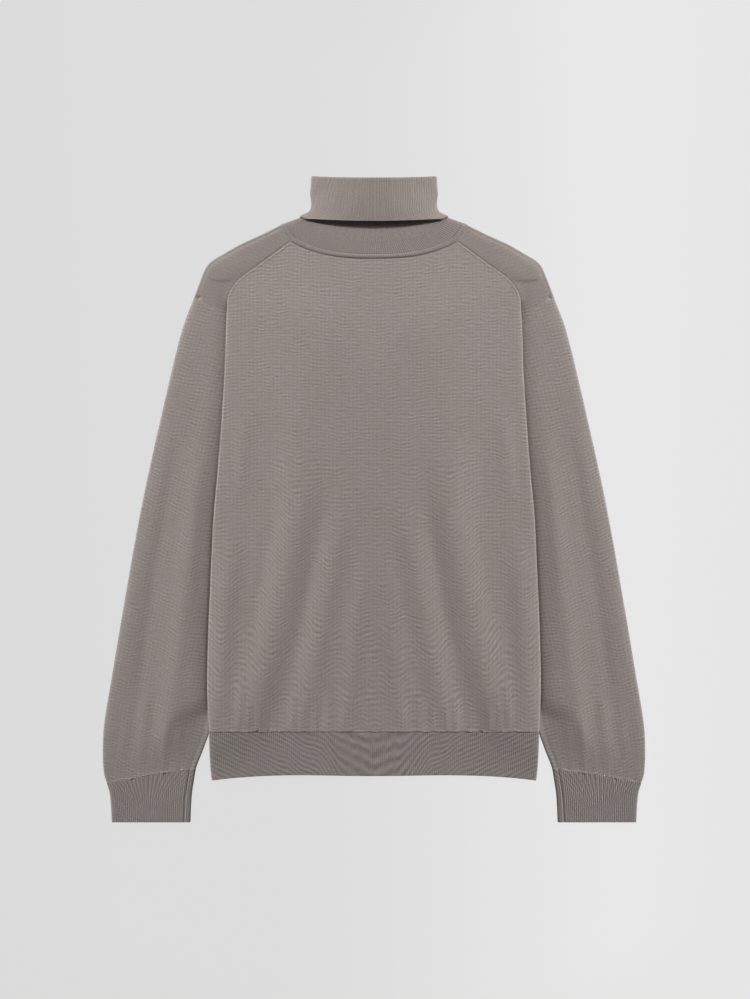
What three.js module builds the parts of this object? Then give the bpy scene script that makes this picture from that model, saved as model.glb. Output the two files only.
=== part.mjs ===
// A fine-knit turtleneck sweater, laid flat on its back with the collar turned down.
// Millimetres. X runs across the sweater, Y from hem to collar, and Z up off the surface that it lies on.
// Every knitted piece is one closed wall of cloth, made from the middle surface of that wall.
// The sweater is the same on both sides, so a side piece is worked out for +X and mirrored for -X.
import * as THREE from "three";

// Driving dimensions
const CLOTH = 1.2; // thickness of the knitted cloth
const SEAM = 0.3; // clearance between two sewn pieces
const HALF = CLOTH / 2;
const COLLAR_TOP = 396.9; // the collar's top fold, above the middle of the sweater
const CUFF_END = -396.9; // the cuffs' ends
const HEM_SEAM = -285; // where the body's jersey meets the hem rib
const HEM_END = -340; // the hem's lower edge on the centre line
const HEM_CORNER_DROP = 5.5; // how much lower the hem's corners hang
const HEM_CORNER_SHARPNESS = 5;
const HEM_WAVE = 1.1; // how much the hem's edge rises halfway to its corners
const PANEL_WIDTH = 203; // half the body's width at the hem seam
const NECK_FRONT = 296; // the front neckline on the centre line
const NECK_BACK = 331; // the back neckline on the centre line
const NECK_CORNER = { x: 102, y: 316.5 }; // where front, saddle and neckband meet
const BAND_TOP_BACK = 345; // where the collar starts at the back

// Heights of the middle surfaces
const UNDER = HALF; // cloth that lies on the surface
const LAYER_AIR = 0.8; // air between the layers of a tube that lies flat
const OVER_LAID = UNDER + CLOTH + LAYER_AIR; // upper layer of such a tube
const BODY_LIFT = 3.4; // front above back by the neckline and at the hem
const MIDDLE_LIFT = 5.0; // and between them, where the front bridges the tucked sleeves
const MIDDLE_LIFT_RISE = { from: -330, over: 150 };
const MIDDLE_LIFT_FALL = { from: 240, over: 100 };
const TUCKED_LIFT = 2.8; // front above back where a sleeve lies under both
const TUCK_RISE = OVER_LAID + HALF + SEAM; // how far a tucked sleeve lifts the body
const TUCK_CLEAR = { side: 14, top: 18 }; // how far beyond the sleeve the body keeps that height
const TUCK_RAMP = { side: 75, top: 60 }; // over how far the body then comes down
const TUCK_END = { low: -338, high: -290 }; // where the lift fades out towards the hem
const SLEEVE_LOFT = 2.0; // air in a sleeve towards its outer edge
const INNER_LOFT = { low: 6.4, high: 3.4, reach: 90 }; // and where it rises beside the body
const RISE = { start: 5, low: 16, high: 12 }; // how far from the body's side it rises, and over how far
const RISE_SPAN = { from: -190, over: 340 };
const RISE_LEAVES = { from: -235, over: 95, by: 8, width: 68 }; // and leaves it towards the cuff
const SLEEVE_EDGE_WIDTH = 12;
const CUFF_LOFT = 0.8;
const CUFF_BLEND = { from: -345, over: 53 };
const SADDLE_LOFT = { bySleeve: 2.8, byNeck: 1.4 };
const EDGE_RADIUS = 1.6; // how tightly a side edge turns over
const EDGE_DROP = 0.45; // how much a panel sinks towards its side edge
const EDGE_DROP_WIDTH = 7;
const FOLD_RADIUS = 1.4; // a flattened tube's side fold

// Ribs: one raised rib each pitch, on the sides that face up
const RIB = { hem: 3.4, cuff: 3.4, collar: 3.1, band: 3.0 };
const RIB_RELIEF = 0.5;
const CORD_RELIEF = 1.2; // the rolled edge that joins the neckband to the body
const CORD_SHARE = 0.27; // its share of the neckband's depth
const CUFF_TOP_WIDTH = 98; // the upper layers that the ribs are spread over
const COLLAR_TOP_WIDTH = 155;
const BAND_RIBBED = 0.97; // the share of the neckband's front that is flat enough for ribs

const JERSEY = 0x8f8681;
const RIBBING = 0x87807b;
const WOOL_ROUGHNESS = 0.95;

// Half widths at a height, from the hem upwards
const BODY_SIDE = [
  { y: -346, x: 199.5 },
  { y: -327, x: 201.5 },
  { y: -285, x: 203 },
  { y: -228, x: 205 },
  { y: -157, x: 203.5 },
  { y: -100, x: 201 },
  { y: -25, x: 197.5 },
  { y: 36, x: 192 },
  { y: 102, x: 187 },
  { y: 159, x: 183.5 },
  { y: 208, x: 182 },
  { y: 240, x: 180.5 },
  { y: 300, x: 180 },
];
const SLEEVE_OUTER = [
  { y: -349.5, x: 328.4 },
  { y: -337, x: 332 },
  { y: -315, x: 333.4 },
  { y: -278, x: 332 },
  { y: -222, x: 323 },
  { y: -130, x: 307.5 },
  { y: -7, x: 285.5 },
  { y: 116, x: 258.5 },
  { y: 208, x: 236 },
  { y: 247.5, x: 221.5 },
];
const SLEEVE_INNER = [
  { y: -331, x: 219 },
  { y: -327, x: 217.7 },
  { y: -302, x: 207.9 },
  { y: -280, x: 200.5 },
  { y: -247, x: 194 },
  { y: -124, x: 167 },
  { y: -1, x: 138 },
  { y: 122, x: 109.5 },
  { y: 193.5, x: 88.6 },
];
const CUFF_OUTER = [
  { y: CUFF_END, x: 322.4 },
  { y: -376, x: 323.5 },
  { y: -361, x: 325 },
  { y: -349.5, x: 328.4 },
];
const CUFF_INNER = [
  { y: CUFF_END, x: 225.7 },
  { y: -364, x: 224 },
  { y: -345, x: 221.3 },
  { y: -331, x: 219 },
];
// The sleeve's top seam in the plan, from its inner edge to its outer edge
const SLEEVE_TOP = { inner: { x: 88.6, y: 193.5 }, outer: { x: 221.5, y: 247.5 } };
// The collar's half width down its turned-down side, with the flare at its lower edge
const COLLAR_SIDE = [
  { y: 345.2, x: 93.3 },
  { y: 347.3, x: 91.6 },
  { y: 349, x: 88.5 },
  { y: 351, x: 84.2 },
  { y: 354, x: 80 },
  { y: 358, x: 77.8 },
  { y: 364, x: 77.3 },
  { y: 375, x: 78.5 },
  { y: 386, x: 77.6 },
  { y: 394, x: 77.3 },
  { y: 397, x: 76.6 },
];

// Seam lines in the plan, as points on a smooth curve
const SADDLE_SEAM = [
  [102, 316.5],
  [128, 297],
  [152.5, 279.5],
  [161, 273.5],
  [168.5, 266],
  [174.7, 257.5],
  [178.5, 249],
  [180.2, 240],
  [180.6, 230],
];
const SHOULDER = [
  [221.5, 247.5],
  [215.3, 263.5],
  [209.6, 278],
  [205, 287],
  [198, 293.8],
  [186, 301],
  [165, 313],
  [138, 325.5],
  [114.5, 337.3],
];
const NECK_SIDE = [
  [102, 316.5],
  [108.2, 327],
  [114.5, 337.3],
];
const BAND_TOP = [
  [0, 314],
  [29.5, 316.2],
  [54, 320.5],
  [72.6, 328.9],
  [91.2, 345.2],
];

// Soft ridges and hollows: a line down three points, a half width and a height
const BODY_FOLDS = [
  { x0: 82, y0: 90, x1: 113, y1: -120, x2: 153, y2: -279, width: 24, height: 2.6 },
  { x0: 34, y0: 30, x1: 58, y1: -120, x2: 91, y2: -279, width: 17, height: 1.6 },
  { x0: 7, y0: -50, x1: 20, y1: -150, x2: 29, y2: -279, width: 12, height: 1.0 },
  { x0: 172, y0: -20, x1: 186, y1: -170, x2: 191, y2: -279, width: 15, height: 1.7 },
  { x0: 156, y0: 120, x1: 162, y1: 60, x2: 166, y2: 0, width: 10, height: 0.7 },
];
const SLEEVE_FOLDS = [
  { x0: 213, y0: 190, x1: 266, y1: 0, x2: 300, y2: -247, width: 11, height: 0.6 },
  { x0: 202, y0: 160, x1: 226, y1: -62, x2: 262, y2: -335, width: 14, height: 1.2 },
  { x0: 276, y0: -225, x1: 283, y1: -280, x2: 287, y2: -335, width: 8, height: 0.9 },
];
const FOLD_RISE = 0.35; // the share of a fold's length over which it rises
const FOLD_FADE = { end: 1.08, over: 0.22 }; // and where it fades

// Helpers for numbers and curves
const lerp = THREE.MathUtils.lerp;
const clamp01 = (t) => Math.min(1, Math.max(0, t));
function smooth(t) {
  const s = clamp01(t);
  return s * s * (3 - 2 * s);
}
// A quarter round, from 0 at an edge to 1 at its full height
const quarterRound = (t) => Math.sqrt(1 - (1 - clamp01(t)) ** 2);

// The half width of a table at a height, on a smooth curve through its rows
function widthAt(table, y) {
  const last = table.length - 1;
  let i = 0;
  while (i < last - 1 && y > table[i + 1].y) i++;
  const [a, b] = [table[i], table[i + 1]];
  const before = table[Math.max(i - 1, 0)];
  const after = table[Math.min(i + 2, last)];
  const slopeA = (b.x - before.x) / (b.y - before.y);
  const slopeB = (after.x - a.x) / (after.y - a.y);
  const span = b.y - a.y;
  const t = clamp01((y - a.y) / span);
  const [t2, t3] = [t * t, t * t * t];
  return (
    (2 * t3 - 3 * t2 + 1) * a.x +
    (t3 - 2 * t2 + t) * span * slopeA +
    (3 * t2 - 2 * t3) * b.x +
    (t3 - t2) * span * slopeB
  );
}

// A line in the plan that gives a point at any share of its length
class PlanLine {
  constructor(points) {
    this.points = points.map(([x, y]) => new THREE.Vector2(x, y));
    this.lengths = [0];
    for (let i = 1; i < this.points.length; i++) {
      this.lengths.push(this.lengths[i - 1] + this.points[i].distanceTo(this.points[i - 1]));
    }
  }
  get length() {
    return this.lengths[this.lengths.length - 1];
  }
  at(share) {
    const wanted = clamp01(share) * this.length;
    let i = 1;
    while (i < this.points.length - 1 && this.lengths[i] < wanted) i++;
    const t = (wanted - this.lengths[i - 1]) / (this.lengths[i] - this.lengths[i - 1]);
    return this.points[i - 1].clone().lerp(this.points[i], t);
  }
  // The same line moved to its left by a distance
  moved(distance) {
    const shifted = this.points.map((p, i) => {
      const ahead = this.points[Math.min(i + 1, this.points.length - 1)];
      const behind = this.points[Math.max(i - 1, 0)];
      const along = ahead.clone().sub(behind).normalize();
      return [p.x - along.y * distance, p.y + along.x * distance];
    });
    return new PlanLine(shifted);
  }
}
const CURVE_STEPS = 48;
function curvePoints(points) {
  const curve = new THREE.SplineCurve(points.map(([x, y]) => new THREE.Vector2(x, y)));
  return curve.getSpacedPoints(CURVE_STEPS).map((p) => [p.x, p.y]);
}
// A neckline from the centre line to the corner where it meets the saddle
const NECK_STEPS = 16;
function neckline(centreY, bend) {
  return Array.from({ length: NECK_STEPS + 1 }, (_, i) => {
    const share = i / NECK_STEPS;
    return [NECK_CORNER.x * share, centreY + (NECK_CORNER.y - centreY) * share ** bend];
  });
}
const FRONT_BEND = 2.8;
const BACK_BEND = 2;
const saddleSeam = curvePoints(SADDLE_SEAM);
const neckSide = curvePoints(NECK_SIDE);
const frontTop = new PlanLine([...neckline(NECK_FRONT, FRONT_BEND), ...saddleSeam.slice(1)]);
const backTop = new PlanLine([...neckline(NECK_BACK, BACK_BEND), ...saddleSeam.slice(1)]);
const bandFront = new PlanLine([...neckline(NECK_FRONT, FRONT_BEND), ...neckSide.slice(1)]);
const bandBack = new PlanLine([...neckline(NECK_BACK, BACK_BEND), ...neckSide.slice(1)]);
const bandTopFront = new PlanLine(curvePoints(BAND_TOP));
const bandTopBack = new PlanLine([
  [0, BAND_TOP_BACK],
  [BAND_TOP[4][0], BAND_TOP[4][1]],
]);

// Height fields
function foldRelief(folds, x, y) {
  let total = 0;
  for (const f of folds) {
    const t = (f.y0 - y) / (f.y0 - f.y2);
    const middle = (f.y0 - f.y1) / (f.y0 - f.y2);
    // the parabola through the three points
    const bow = (f.x1 - lerp(f.x0, f.x2, middle)) / (middle * (1 - middle));
    const aside = (Math.abs(x) - lerp(f.x0, f.x2, t) - bow * t * (1 - t)) / f.width;
    const ends = smooth(t / FOLD_RISE) * smooth((FOLD_FADE.end - t) / FOLD_FADE.over);
    total += f.height * Math.exp(-aside * aside) * ends;
  }
  return total;
}
const bodySide = (y) => widthAt(BODY_SIDE, y);
const topSlope = (SLEEVE_TOP.outer.y - SLEEVE_TOP.inner.y) / (SLEEVE_TOP.outer.x - SLEEVE_TOP.inner.x);
// How much of a tucked sleeve's thickness the body is lifted by
function tucked(x, y) {
  const beside = widthAt(SLEEVE_INNER, y) - Math.abs(x) - TUCK_CLEAR.side;
  const above =
    (y - SLEEVE_TOP.inner.y - topSlope * (Math.abs(x) - SLEEVE_TOP.inner.x)) / Math.hypot(1, topSlope) -
    TUCK_CLEAR.top;
  const low = smooth((y - TUCK_END.low) / (TUCK_END.high - TUCK_END.low));
  return smooth(1 - beside / TUCK_RAMP.side) * smooth(1 - above / TUCK_RAMP.top) * low;
}
const backHeight = (x, y) => UNDER + TUCK_RISE * tucked(x, y);
function frontHeight(x, y) {
  const edge = bodySide(y) - HALF - Math.abs(x);
  const back = backHeight(x, y);
  const sunk = EDGE_DROP * (1 - clamp01(edge / EDGE_DROP_WIDTH)) ** 2;
  const bridged =
    smooth((y - MIDDLE_LIFT_RISE.from) / MIDDLE_LIFT_RISE.over) *
    smooth((MIDDLE_LIFT_FALL.from - y) / MIDDLE_LIFT_FALL.over);
  const lift = lerp(lerp(BODY_LIFT, MIDDLE_LIFT, bridged), TUCKED_LIFT, tucked(x, y));
  const full = back + lift - sunk + foldRelief(BODY_FOLDS, x, y);
  return lerp(back + HALF + SEAM, full, quarterRound(edge / EDGE_RADIUS));
}
// A sleeve's upper layer: flat under the body, with some air in the part that shows
const INNER_EDGE_SHOWS = SLEEVE_INNER[3].y; // below this the sleeve's inner edge lies beside the body
function sleeveHeight(x, y) {
  const leaves = smooth((RISE_LEAVES.from - y) / RISE_LEAVES.over);
  const upward = smooth((y - RISE_SPAN.from) / RISE_SPAN.over);
  const fromBody = Math.abs(x) - bodySide(y) - RISE.start - RISE_LEAVES.by * leaves;
  const seen = smooth(fromBody / lerp(lerp(RISE.low, RISE.high, upward), RISE_LEAVES.width, leaves));
  const inwardAir = lerp(INNER_LOFT.low, INNER_LOFT.high, upward);
  const air = lerp(inwardAir, SLEEVE_LOFT, smooth(fromBody / INNER_LOFT.reach));
  const loft = (air + foldRelief(SLEEVE_FOLDS, x, y)) * seen;
  const outer = widthAt(SLEEVE_OUTER, y);
  const inner = y < INNER_EDGE_SHOWS ? widthAt(SLEEVE_INNER, y) : 0;
  const edge = Math.min(outer - Math.abs(x), Math.abs(x) - inner);
  const sleeveward = smooth((y - CUFF_BLEND.from) / CUFF_BLEND.over);
  return OVER_LAID + lerp(CUFF_LOFT, loft, sleeveward) * quarterRound(edge / SLEEVE_EDGE_WIDTH);
}

// A flattened tube: its section runs along the upper layer, round the right fold, back under and round the
// left fold. across is -1 to 1, and up is -1 on the lower layer and 1 on the upper one.
const LOOP = { top: 0.05, right: 0.5, bottom: 0.6, left: 0.95 };
function loopPlace(u, foldShare) {
  const round = ((u % 1) + 1) % 1;
  const flat = 1 - foldShare;
  if (round >= LOOP.top && round <= LOOP.right) {
    return { across: lerp(-flat, flat, (round - LOOP.top) / (LOOP.right - LOOP.top)), up: 1 };
  }
  if (round >= LOOP.bottom && round <= LOOP.left) {
    return { across: lerp(flat, -flat, (round - LOOP.bottom) / (LOOP.left - LOOP.bottom)), up: -1 };
  }
  const rightSide = round > LOOP.right && round < LOOP.bottom;
  const turned = rightSide
    ? (round - LOOP.right) / (LOOP.bottom - LOOP.right)
    : (round > LOOP.left ? round - LOOP.left : round + 1 - LOOP.left) / (LOOP.bottom - LOOP.right);
  const angle = Math.PI / 2 - Math.PI * turned;
  return rightSide
    ? { across: flat + foldShare * Math.cos(angle), up: Math.sin(angle) }
    : { across: -flat - foldShare * Math.cos(angle), up: -Math.sin(angle) };
}
// Places of a section's columns, starting at the left fold
function loopColumns({ top, fold, bottom }) {
  const places = [0];
  const stretch = (from, to, count) => {
    for (let i = 0; i < count; i++) places.push(lerp(from, to, i / count));
  };
  const halfFold = LOOP.top / Math.ceil(fold / 2);
  for (let i = 1; i < Math.ceil(fold / 2); i++) places.push(halfFold * i);
  stretch(LOOP.top, LOOP.right, top);
  stretch(LOOP.right, LOOP.bottom, fold);
  stretch(LOOP.bottom, LOOP.left, bottom);
  for (let i = 0; i < Math.ceil(fold / 2); i++) places.push(LOOP.left + halfFold * i);
  return places;
}
const evenSteps = (count) => Array.from({ length: count + 1 }, (_, i) => i / count);

// A closed wall of cloth round a middle surface at(u, v). The face on the side of the surface's normal has
// the columns faceColumns(row) and may be raised. The other has plainColumns. A ring joins its last column to
// its first.
const STEP = 1e-4;
function clothWall({ at, rows, faceColumns, plainColumns, ring = false, raised = () => 0 }) {
  const normalAt = (u, v) => {
    const [u0, u1] = ring ? [u - STEP, u + STEP] : [Math.max(u - STEP, 0), Math.min(u + STEP, 1)];
    const [v0, v1] = [Math.max(v - STEP, 0), Math.min(v + STEP, 1)];
    const alongU = at(u1, v).sub(at(u0, v));
    const alongV = at(u, v1).sub(at(u, v0));
    return alongU.cross(alongV).normalize();
  };
  const points = [];
  const index = [];
  // a row of one side: the places of its columns and the numbers of its points
  const pointRow = (v, columns, side) => {
    const numbers = columns.map((u) => {
      const lift = side > 0 ? HALF + raised(u, v) : -HALF;
      points.push(at(u, v).addScaledVector(normalAt(u, v), lift));
      return points.length - 1;
    });
    return ring
      ? { places: [...columns, 1], numbers: [...numbers, numbers[0]] }
      : { places: columns, numbers };
  };
  // triangles between two rows, which may have unlike numbers of columns
  const strip = (low, high) => {
    const [lastLow, lastHigh] = [low.numbers.length - 1, high.numbers.length - 1];
    let [i, j] = [0, 0];
    while (i < lastLow || j < lastHigh) {
      const stepLow = j === lastHigh || (i < lastLow && low.places[i + 1] <= high.places[j + 1]);
      if (stepLow) index.push(low.numbers[i], low.numbers[++i], high.numbers[j]);
      else index.push(low.numbers[i], high.numbers[j + 1], high.numbers[j++]);
    }
  };
  const face = rows.map((v, r) => pointRow(v, faceColumns(r), 1));
  const plain = rows.map((v) => pointRow(v, plainColumns, -1));
  for (let r = 0; r + 1 < rows.length; r++) {
    strip(face[r], face[r + 1]);
    strip(plain[r + 1], plain[r]);
    if (!ring) {
      const [f, g, p, q] = [face[r], face[r + 1], plain[r], plain[r + 1]].map((row) => row.numbers);
      index.push(f[0], g[0], q[0], f[0], q[0], p[0]);
      index.push(p.at(-1), q.at(-1), g.at(-1), p.at(-1), g.at(-1), f.at(-1));
    }
  }
  strip(plain[0], face[0]);
  strip(face.at(-1), plain.at(-1));
  const geometry = new THREE.BufferGeometry();
  geometry.setAttribute(
    "position",
    new THREE.Float32BufferAttribute(points.flatMap((p) => [p.x, p.y, p.z]), 3),
  );
  geometry.setIndex(index);
  geometry.computeVertexNormals();
  return geometry;
}

// Columns of a panel from side to side: even ones over the middle, close ones where the side edges turn over
const EDGE_STEPS = [0, 0.08, 0.3, 0.62, 1];
function panelColumns(count) {
  const turn = EDGE_STEPS.map((share) => (share * EDGE_RADIUS) / (2 * PANEL_WIDTH));
  const first = turn[turn.length - 1];
  const middle = evenSteps(count).map((t) => lerp(first, 1 - first, t));
  return [...turn.slice(0, -1), ...middle, ...turn.slice(0, -1).map((t) => 1 - t).reverse()];
}
// Columns of a ribbed stretch: a crest and a valley for each rib
const ribCount = (length, pitch) => Math.round(length / pitch);
const isCrest = (columns, u) => columns.indexOf(u) % 2 === 0;

// A body panel from the hem seam up to its neckline and saddle seams, which meet in the column at cornerPlace
function bodyPanel(top, cornerPlace, height) {
  const cut = top.moved(-SEAM / 2);
  const cornerShare = top.lengths[NECK_STEPS] / top.length;
  const bottomY = HEM_SEAM + SEAM / 2;
  return (u, v) => {
    const w = 2 * u - 1;
    const past = Math.abs(w) - cornerPlace;
    const end = cut.at(
      past < 0 ? cornerShare * (1 + past / cornerPlace) : lerp(cornerShare, 1, past / (1 - cornerPlace)),
    );
    const y = lerp(bottomY, end.y, v);
    const share = lerp(Math.abs(w), Math.min(1, end.x / (bodySide(end.y) - HALF)), v);
    const x = Math.sign(w) * share * (bodySide(y) - HALF);
    return new THREE.Vector3(x, y, height(x, y));
  };
}
function hemBand(height) {
  return (u, v) => {
    const w = 2 * u - 1;
    const cornerDrop = HEM_CORNER_DROP * Math.abs(w) ** HEM_CORNER_SHARPNESS;
    const wave = HEM_WAVE * Math.sin(Math.PI * w) ** 2;
    const y = lerp(HEM_END - cornerDrop + wave, HEM_SEAM - SEAM / 2, v);
    const x = w * (bodySide(y) - HALF);
    return new THREE.Vector3(x, y, height(x, y));
  };
}
// A sleeve or cuff: a flattened tube between an inner and an outer edge, v from its lower end up
function flatTube(innerEdge, outerEdge, { lowTrim, highTrim }) {
  const ends = (table) => [table[0].y, table[table.length - 1].y];
  return (u, v) => {
    const sides = [innerEdge, outerEdge].map((table) => {
      const [low, high] = ends(table);
      const y = lerp(low, high, v);
      return new THREE.Vector2(widthAt(table, y), y);
    });
    const [inner, outer] = sides;
    const halfWidth = outer.distanceTo(inner) / 2 - HALF;
    const { across, up } = loopPlace(u, FOLD_RADIUS / halfWidth);
    const middle = inner.clone().lerp(outer, 0.5);
    const direction = outer.clone().sub(inner).normalize();
    const place = middle.addScaledVector(direction, across * halfWidth);
    place.y += lerp(lowTrim, -highTrim, v);
    const top = sleeveHeight(place.x, place.y);
    return new THREE.Vector3(place.x, place.y, lerp(UNDER, top, (up + 1) / 2));
  };
}
// The saddle over one shoulder: from its front seam over the shoulder fold to its back seam
const shoulderLine = new PlanLine(curvePoints(SHOULDER));
const SADDLE_FRONT = [[177, 229.8], [179.4, 240], ...SADDLE_SEAM.slice(0, 7).reverse()];
const SADDLE_BACK = [
  [88.9, 193.8],
  [128, 222],
  [160, 240],
  [172.8, 247.3],
  [176.6, 257],
  [169.4, 266.8],
  ...SADDLE_SEAM.slice(0, 4).reverse(),
];
const saddleFront = new PlanLine(curvePoints(SADDLE_FRONT)).moved(-SEAM / 2);
const saddleBack = new PlanLine(curvePoints(SADDLE_BACK)).moved(-SEAM / 2);
const NECK_FOLD_WIDTH = 12; // how far from the shoulder fold the cloth reaches its full height
const SEAM_LEVEL_WIDTH = 16; // how far from the front panel the saddle leaves its level
const SEAM_LEVEL_MOST = 5.2;
const ARMPIT = { y: 240, over: 16 }; // where the saddle dips under the front panel's side
const NECKWARD = { from: 0.07, over: 0.24 }; // where it leaves the sleeve's height
const SADDLE_FLAT = 0.42; // share of its columns on each flat layer, and the rest goes round the fold
function shoulderHeight(x, y, fromFold, neckward) {
  const bySleeve = sleeveHeight(x, Math.min(y, SLEEVE_OUTER.at(-1).y));
  const loft = lerp(SADDLE_LOFT.bySleeve, SADDLE_LOFT.byNeck, smooth(neckward));
  const byNeck = OVER_LAID + loft * quarterRound(fromFold / NECK_FOLD_WIDTH);
  return lerp(bySleeve, byNeck, smooth((neckward - NECKWARD.from) / NECKWARD.over));
}
function saddlePlace(u, v) {
  const trim = SEAM / 2 / shoulderLine.length;
  const along = lerp(trim, 1 - trim, v);
  const fold = shoulderLine.at(along);
  const isFront = u <= 0.5;
  const inner = (isFront ? saddleFront : saddleBack).at(along);
  const outward = fold.clone().sub(inner).normalize();
  const reach = fold.distanceTo(inner) - HALF;
  const flat = isFront ? u / SADDLE_FLAT : (1 - u) / SADDLE_FLAT;
  const length = reach - FOLD_RADIUS;
  if (flat <= 1) {
    const place = inner.clone().addScaledVector(outward, length * flat);
    if (!isFront) return new THREE.Vector3(place.x, place.y, UNDER);
    const level = shoulderHeight(place.x, place.y, reach - length * flat, along);
    const nearSeam = 1 - smooth((length * flat) / SEAM_LEVEL_WIDTH);
    const bySeam = nearSeam * smooth((inner.y - ARMPIT.y) / ARMPIT.over);
    const seamLevel = Math.min(frontHeight(inner.x, inner.y), SEAM_LEVEL_MOST);
    return new THREE.Vector3(place.x, place.y, lerp(level, seamLevel, bySeam));
  }
  const angle = Math.PI / 2 - (Math.PI * (u - SADDLE_FLAT)) / (1 - 2 * SADDLE_FLAT);
  const place = inner.clone().addScaledVector(outward, length + FOLD_RADIUS * Math.cos(angle));
  const top = shoulderHeight(place.x, place.y, FOLD_RADIUS, along);
  return new THREE.Vector3(place.x, place.y, lerp(UNDER, top, (Math.sin(angle) + 1) / 2));
}

// The neckband and the collar are flattened rings whose front and back follow lines of their own.
const STAND_BACK = UNDER + CLOTH + SEAM; // the collar's inner layer, which lies on its turned-down back
const STAND_FRONT = STAND_BACK + CLOTH + LAYER_AIR;
const BAND_TRIM = 0.985; // the neckband stops this near the collar
function ringPlace(u, frontLine, backLine, foldShare) {
  const { across, up } = loopPlace(u, foldShare);
  const share = Math.abs(across);
  const place = backLine(share).lerp(frontLine(share), (up + 1) / 2);
  return { x: Math.sign(across) * place.x, y: place.y, up, share };
}
const bandFrontCut = bandFront.moved(SEAM / 2);
const bandBackCut = bandBack.moved(SEAM / 2);
function bandPlace(u, v) {
  const trimmed = v * BAND_TRIM;
  const front = (share) => bandFrontCut.at(share).lerp(bandTopFront.at(share), trimmed);
  const back = (share) => bandBackCut.at(share).lerp(bandTopBack.at(share), trimmed);
  const { x, y, up, share } = ringPlace(u, front, back, FOLD_RADIUS / bandFront.length);
  const fromFold = (1 - share) * bandFront.length;
  const seamTop = OVER_LAID + SADDLE_LOFT.byNeck * quarterRound(fromFold / NECK_FOLD_WIDTH);
  const top = lerp(seamTop, STAND_FRONT, smooth(v));
  const bottom = lerp(UNDER, STAND_BACK, smooth(v));
  return new THREE.Vector3(x, y, lerp(bottom, top, (up + 1) / 2));
}

// The collar from the turned-down edge (v = 0) up to the top fold and down inside to the neckband (v = 1)
const COLLAR = { flapEnd: 0.5, standStart: 0.62 };
const FLAP_FRONT = STAND_FRONT + CLOTH + SEAM;
const TOP_PUFF = { height: 1.0, from: 0.7, over: 0.3 }; // how the collar's inside swells below its top fold
const FLARE = { low: 6, high: 3.6, sharpness: 3 }; // how far the turned-down side stands off the neck
const FLAP_EDGE = { centre: 341, rise: 3.7, corner: 347.3, backCentre: 352 };
const FLAP_CORNER = { from: 0.93, over: 0.07 }; // the share of its width where the edge turns to its corner
const FLAP_FOLD_RADIUS = 2.2;
const STRAIGHTEN = 0.25; // the share of the collar's height in which it takes its own width
const TOP_ROUND = 1.25;
const FOLD_Y = COLLAR_TOP - TOP_ROUND - HALF;
const TOP_DIP = 1.8; // the top fold sags between its corners
const TOP_DIP_SHARPNESS = 3;
const topDip = (share) => TOP_DIP * (1 - share ** TOP_DIP_SHARPNESS);
const flapMiddle = (y) => widthAt(COLLAR_SIDE, y) - HALF;
const standMiddle = (y) => widthAt(COLLAR_SIDE, y) - 2 * CLOTH - SEAM + HALF;
function collarPlace(u, v) {
  if (v <= COLLAR.flapEnd) return flapPlace(u, v / COLLAR.flapEnd);
  if (v >= COLLAR.standStart) return standPlace(u, 1 - (v - COLLAR.standStart) / (1 - COLLAR.standStart));
  const turned = (v - COLLAR.flapEnd) / (COLLAR.standStart - COLLAR.flapEnd);
  const [outside, inside] = [flapPlace(u, 1), standPlace(u, 1)];
  const place = outside.clone().lerp(inside, (1 - Math.cos(Math.PI * turned)) / 2);
  place.y += TOP_ROUND * Math.sin(Math.PI * turned);
  return place;
}
function flapPlace(u, rise) {
  const sideY = lerp(FLAP_EDGE.corner, FOLD_Y, rise);
  const halfWidth = flapMiddle(sideY);
  const line = (centreY, bend) => (share) => {
    const low = Math.min(centreY + bend * share ** 2, FLAP_EDGE.corner);
    const cornered = lerp(low, FLAP_EDGE.corner, smooth((share - FLAP_CORNER.from) / FLAP_CORNER.over));
    return new THREE.Vector2(share * halfWidth, lerp(cornered, FOLD_Y - topDip(share), rise));
  };
  const front = line(FLAP_EDGE.centre, FLAP_EDGE.rise);
  const back = line(FLAP_EDGE.backCentre, 0);
  const { x, y, up, share } = ringPlace(u, front, back, FLAP_FOLD_RADIUS / halfWidth);
  const flare = lerp(FLARE.low, FLARE.high, smooth(rise)) * (1 - share ** FLARE.sharpness);
  return new THREE.Vector3(x, y, lerp(UNDER, FLAP_FRONT + flare, (up + 1) / 2));
}
function standPlace(u, rise) {
  const base = BAND_TOP[4];
  const sideY = lerp(base[1], FOLD_Y, rise);
  const halfWidth = standMiddle(sideY);
  const straighten = smooth(rise / STRAIGHTEN);
  const line = (baseLine) => (share) => {
    const start = baseLine.at(share);
    const x = lerp((start.x * halfWidth) / base[0], share * halfWidth, straighten);
    return new THREE.Vector2(x, lerp(start.y + SEAM, FOLD_Y - topDip(share), rise));
  };
  const { x, y, up } = ringPlace(u, line(bandTopFront), line(bandTopBack), FOLD_RADIUS / halfWidth);
  const puff = TOP_PUFF.height * smooth((rise - TOP_PUFF.from) / TOP_PUFF.over);
  return new THREE.Vector3(x, y, lerp(STAND_BACK + puff, STAND_FRONT + puff, (up + 1) / 2));
}

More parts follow.
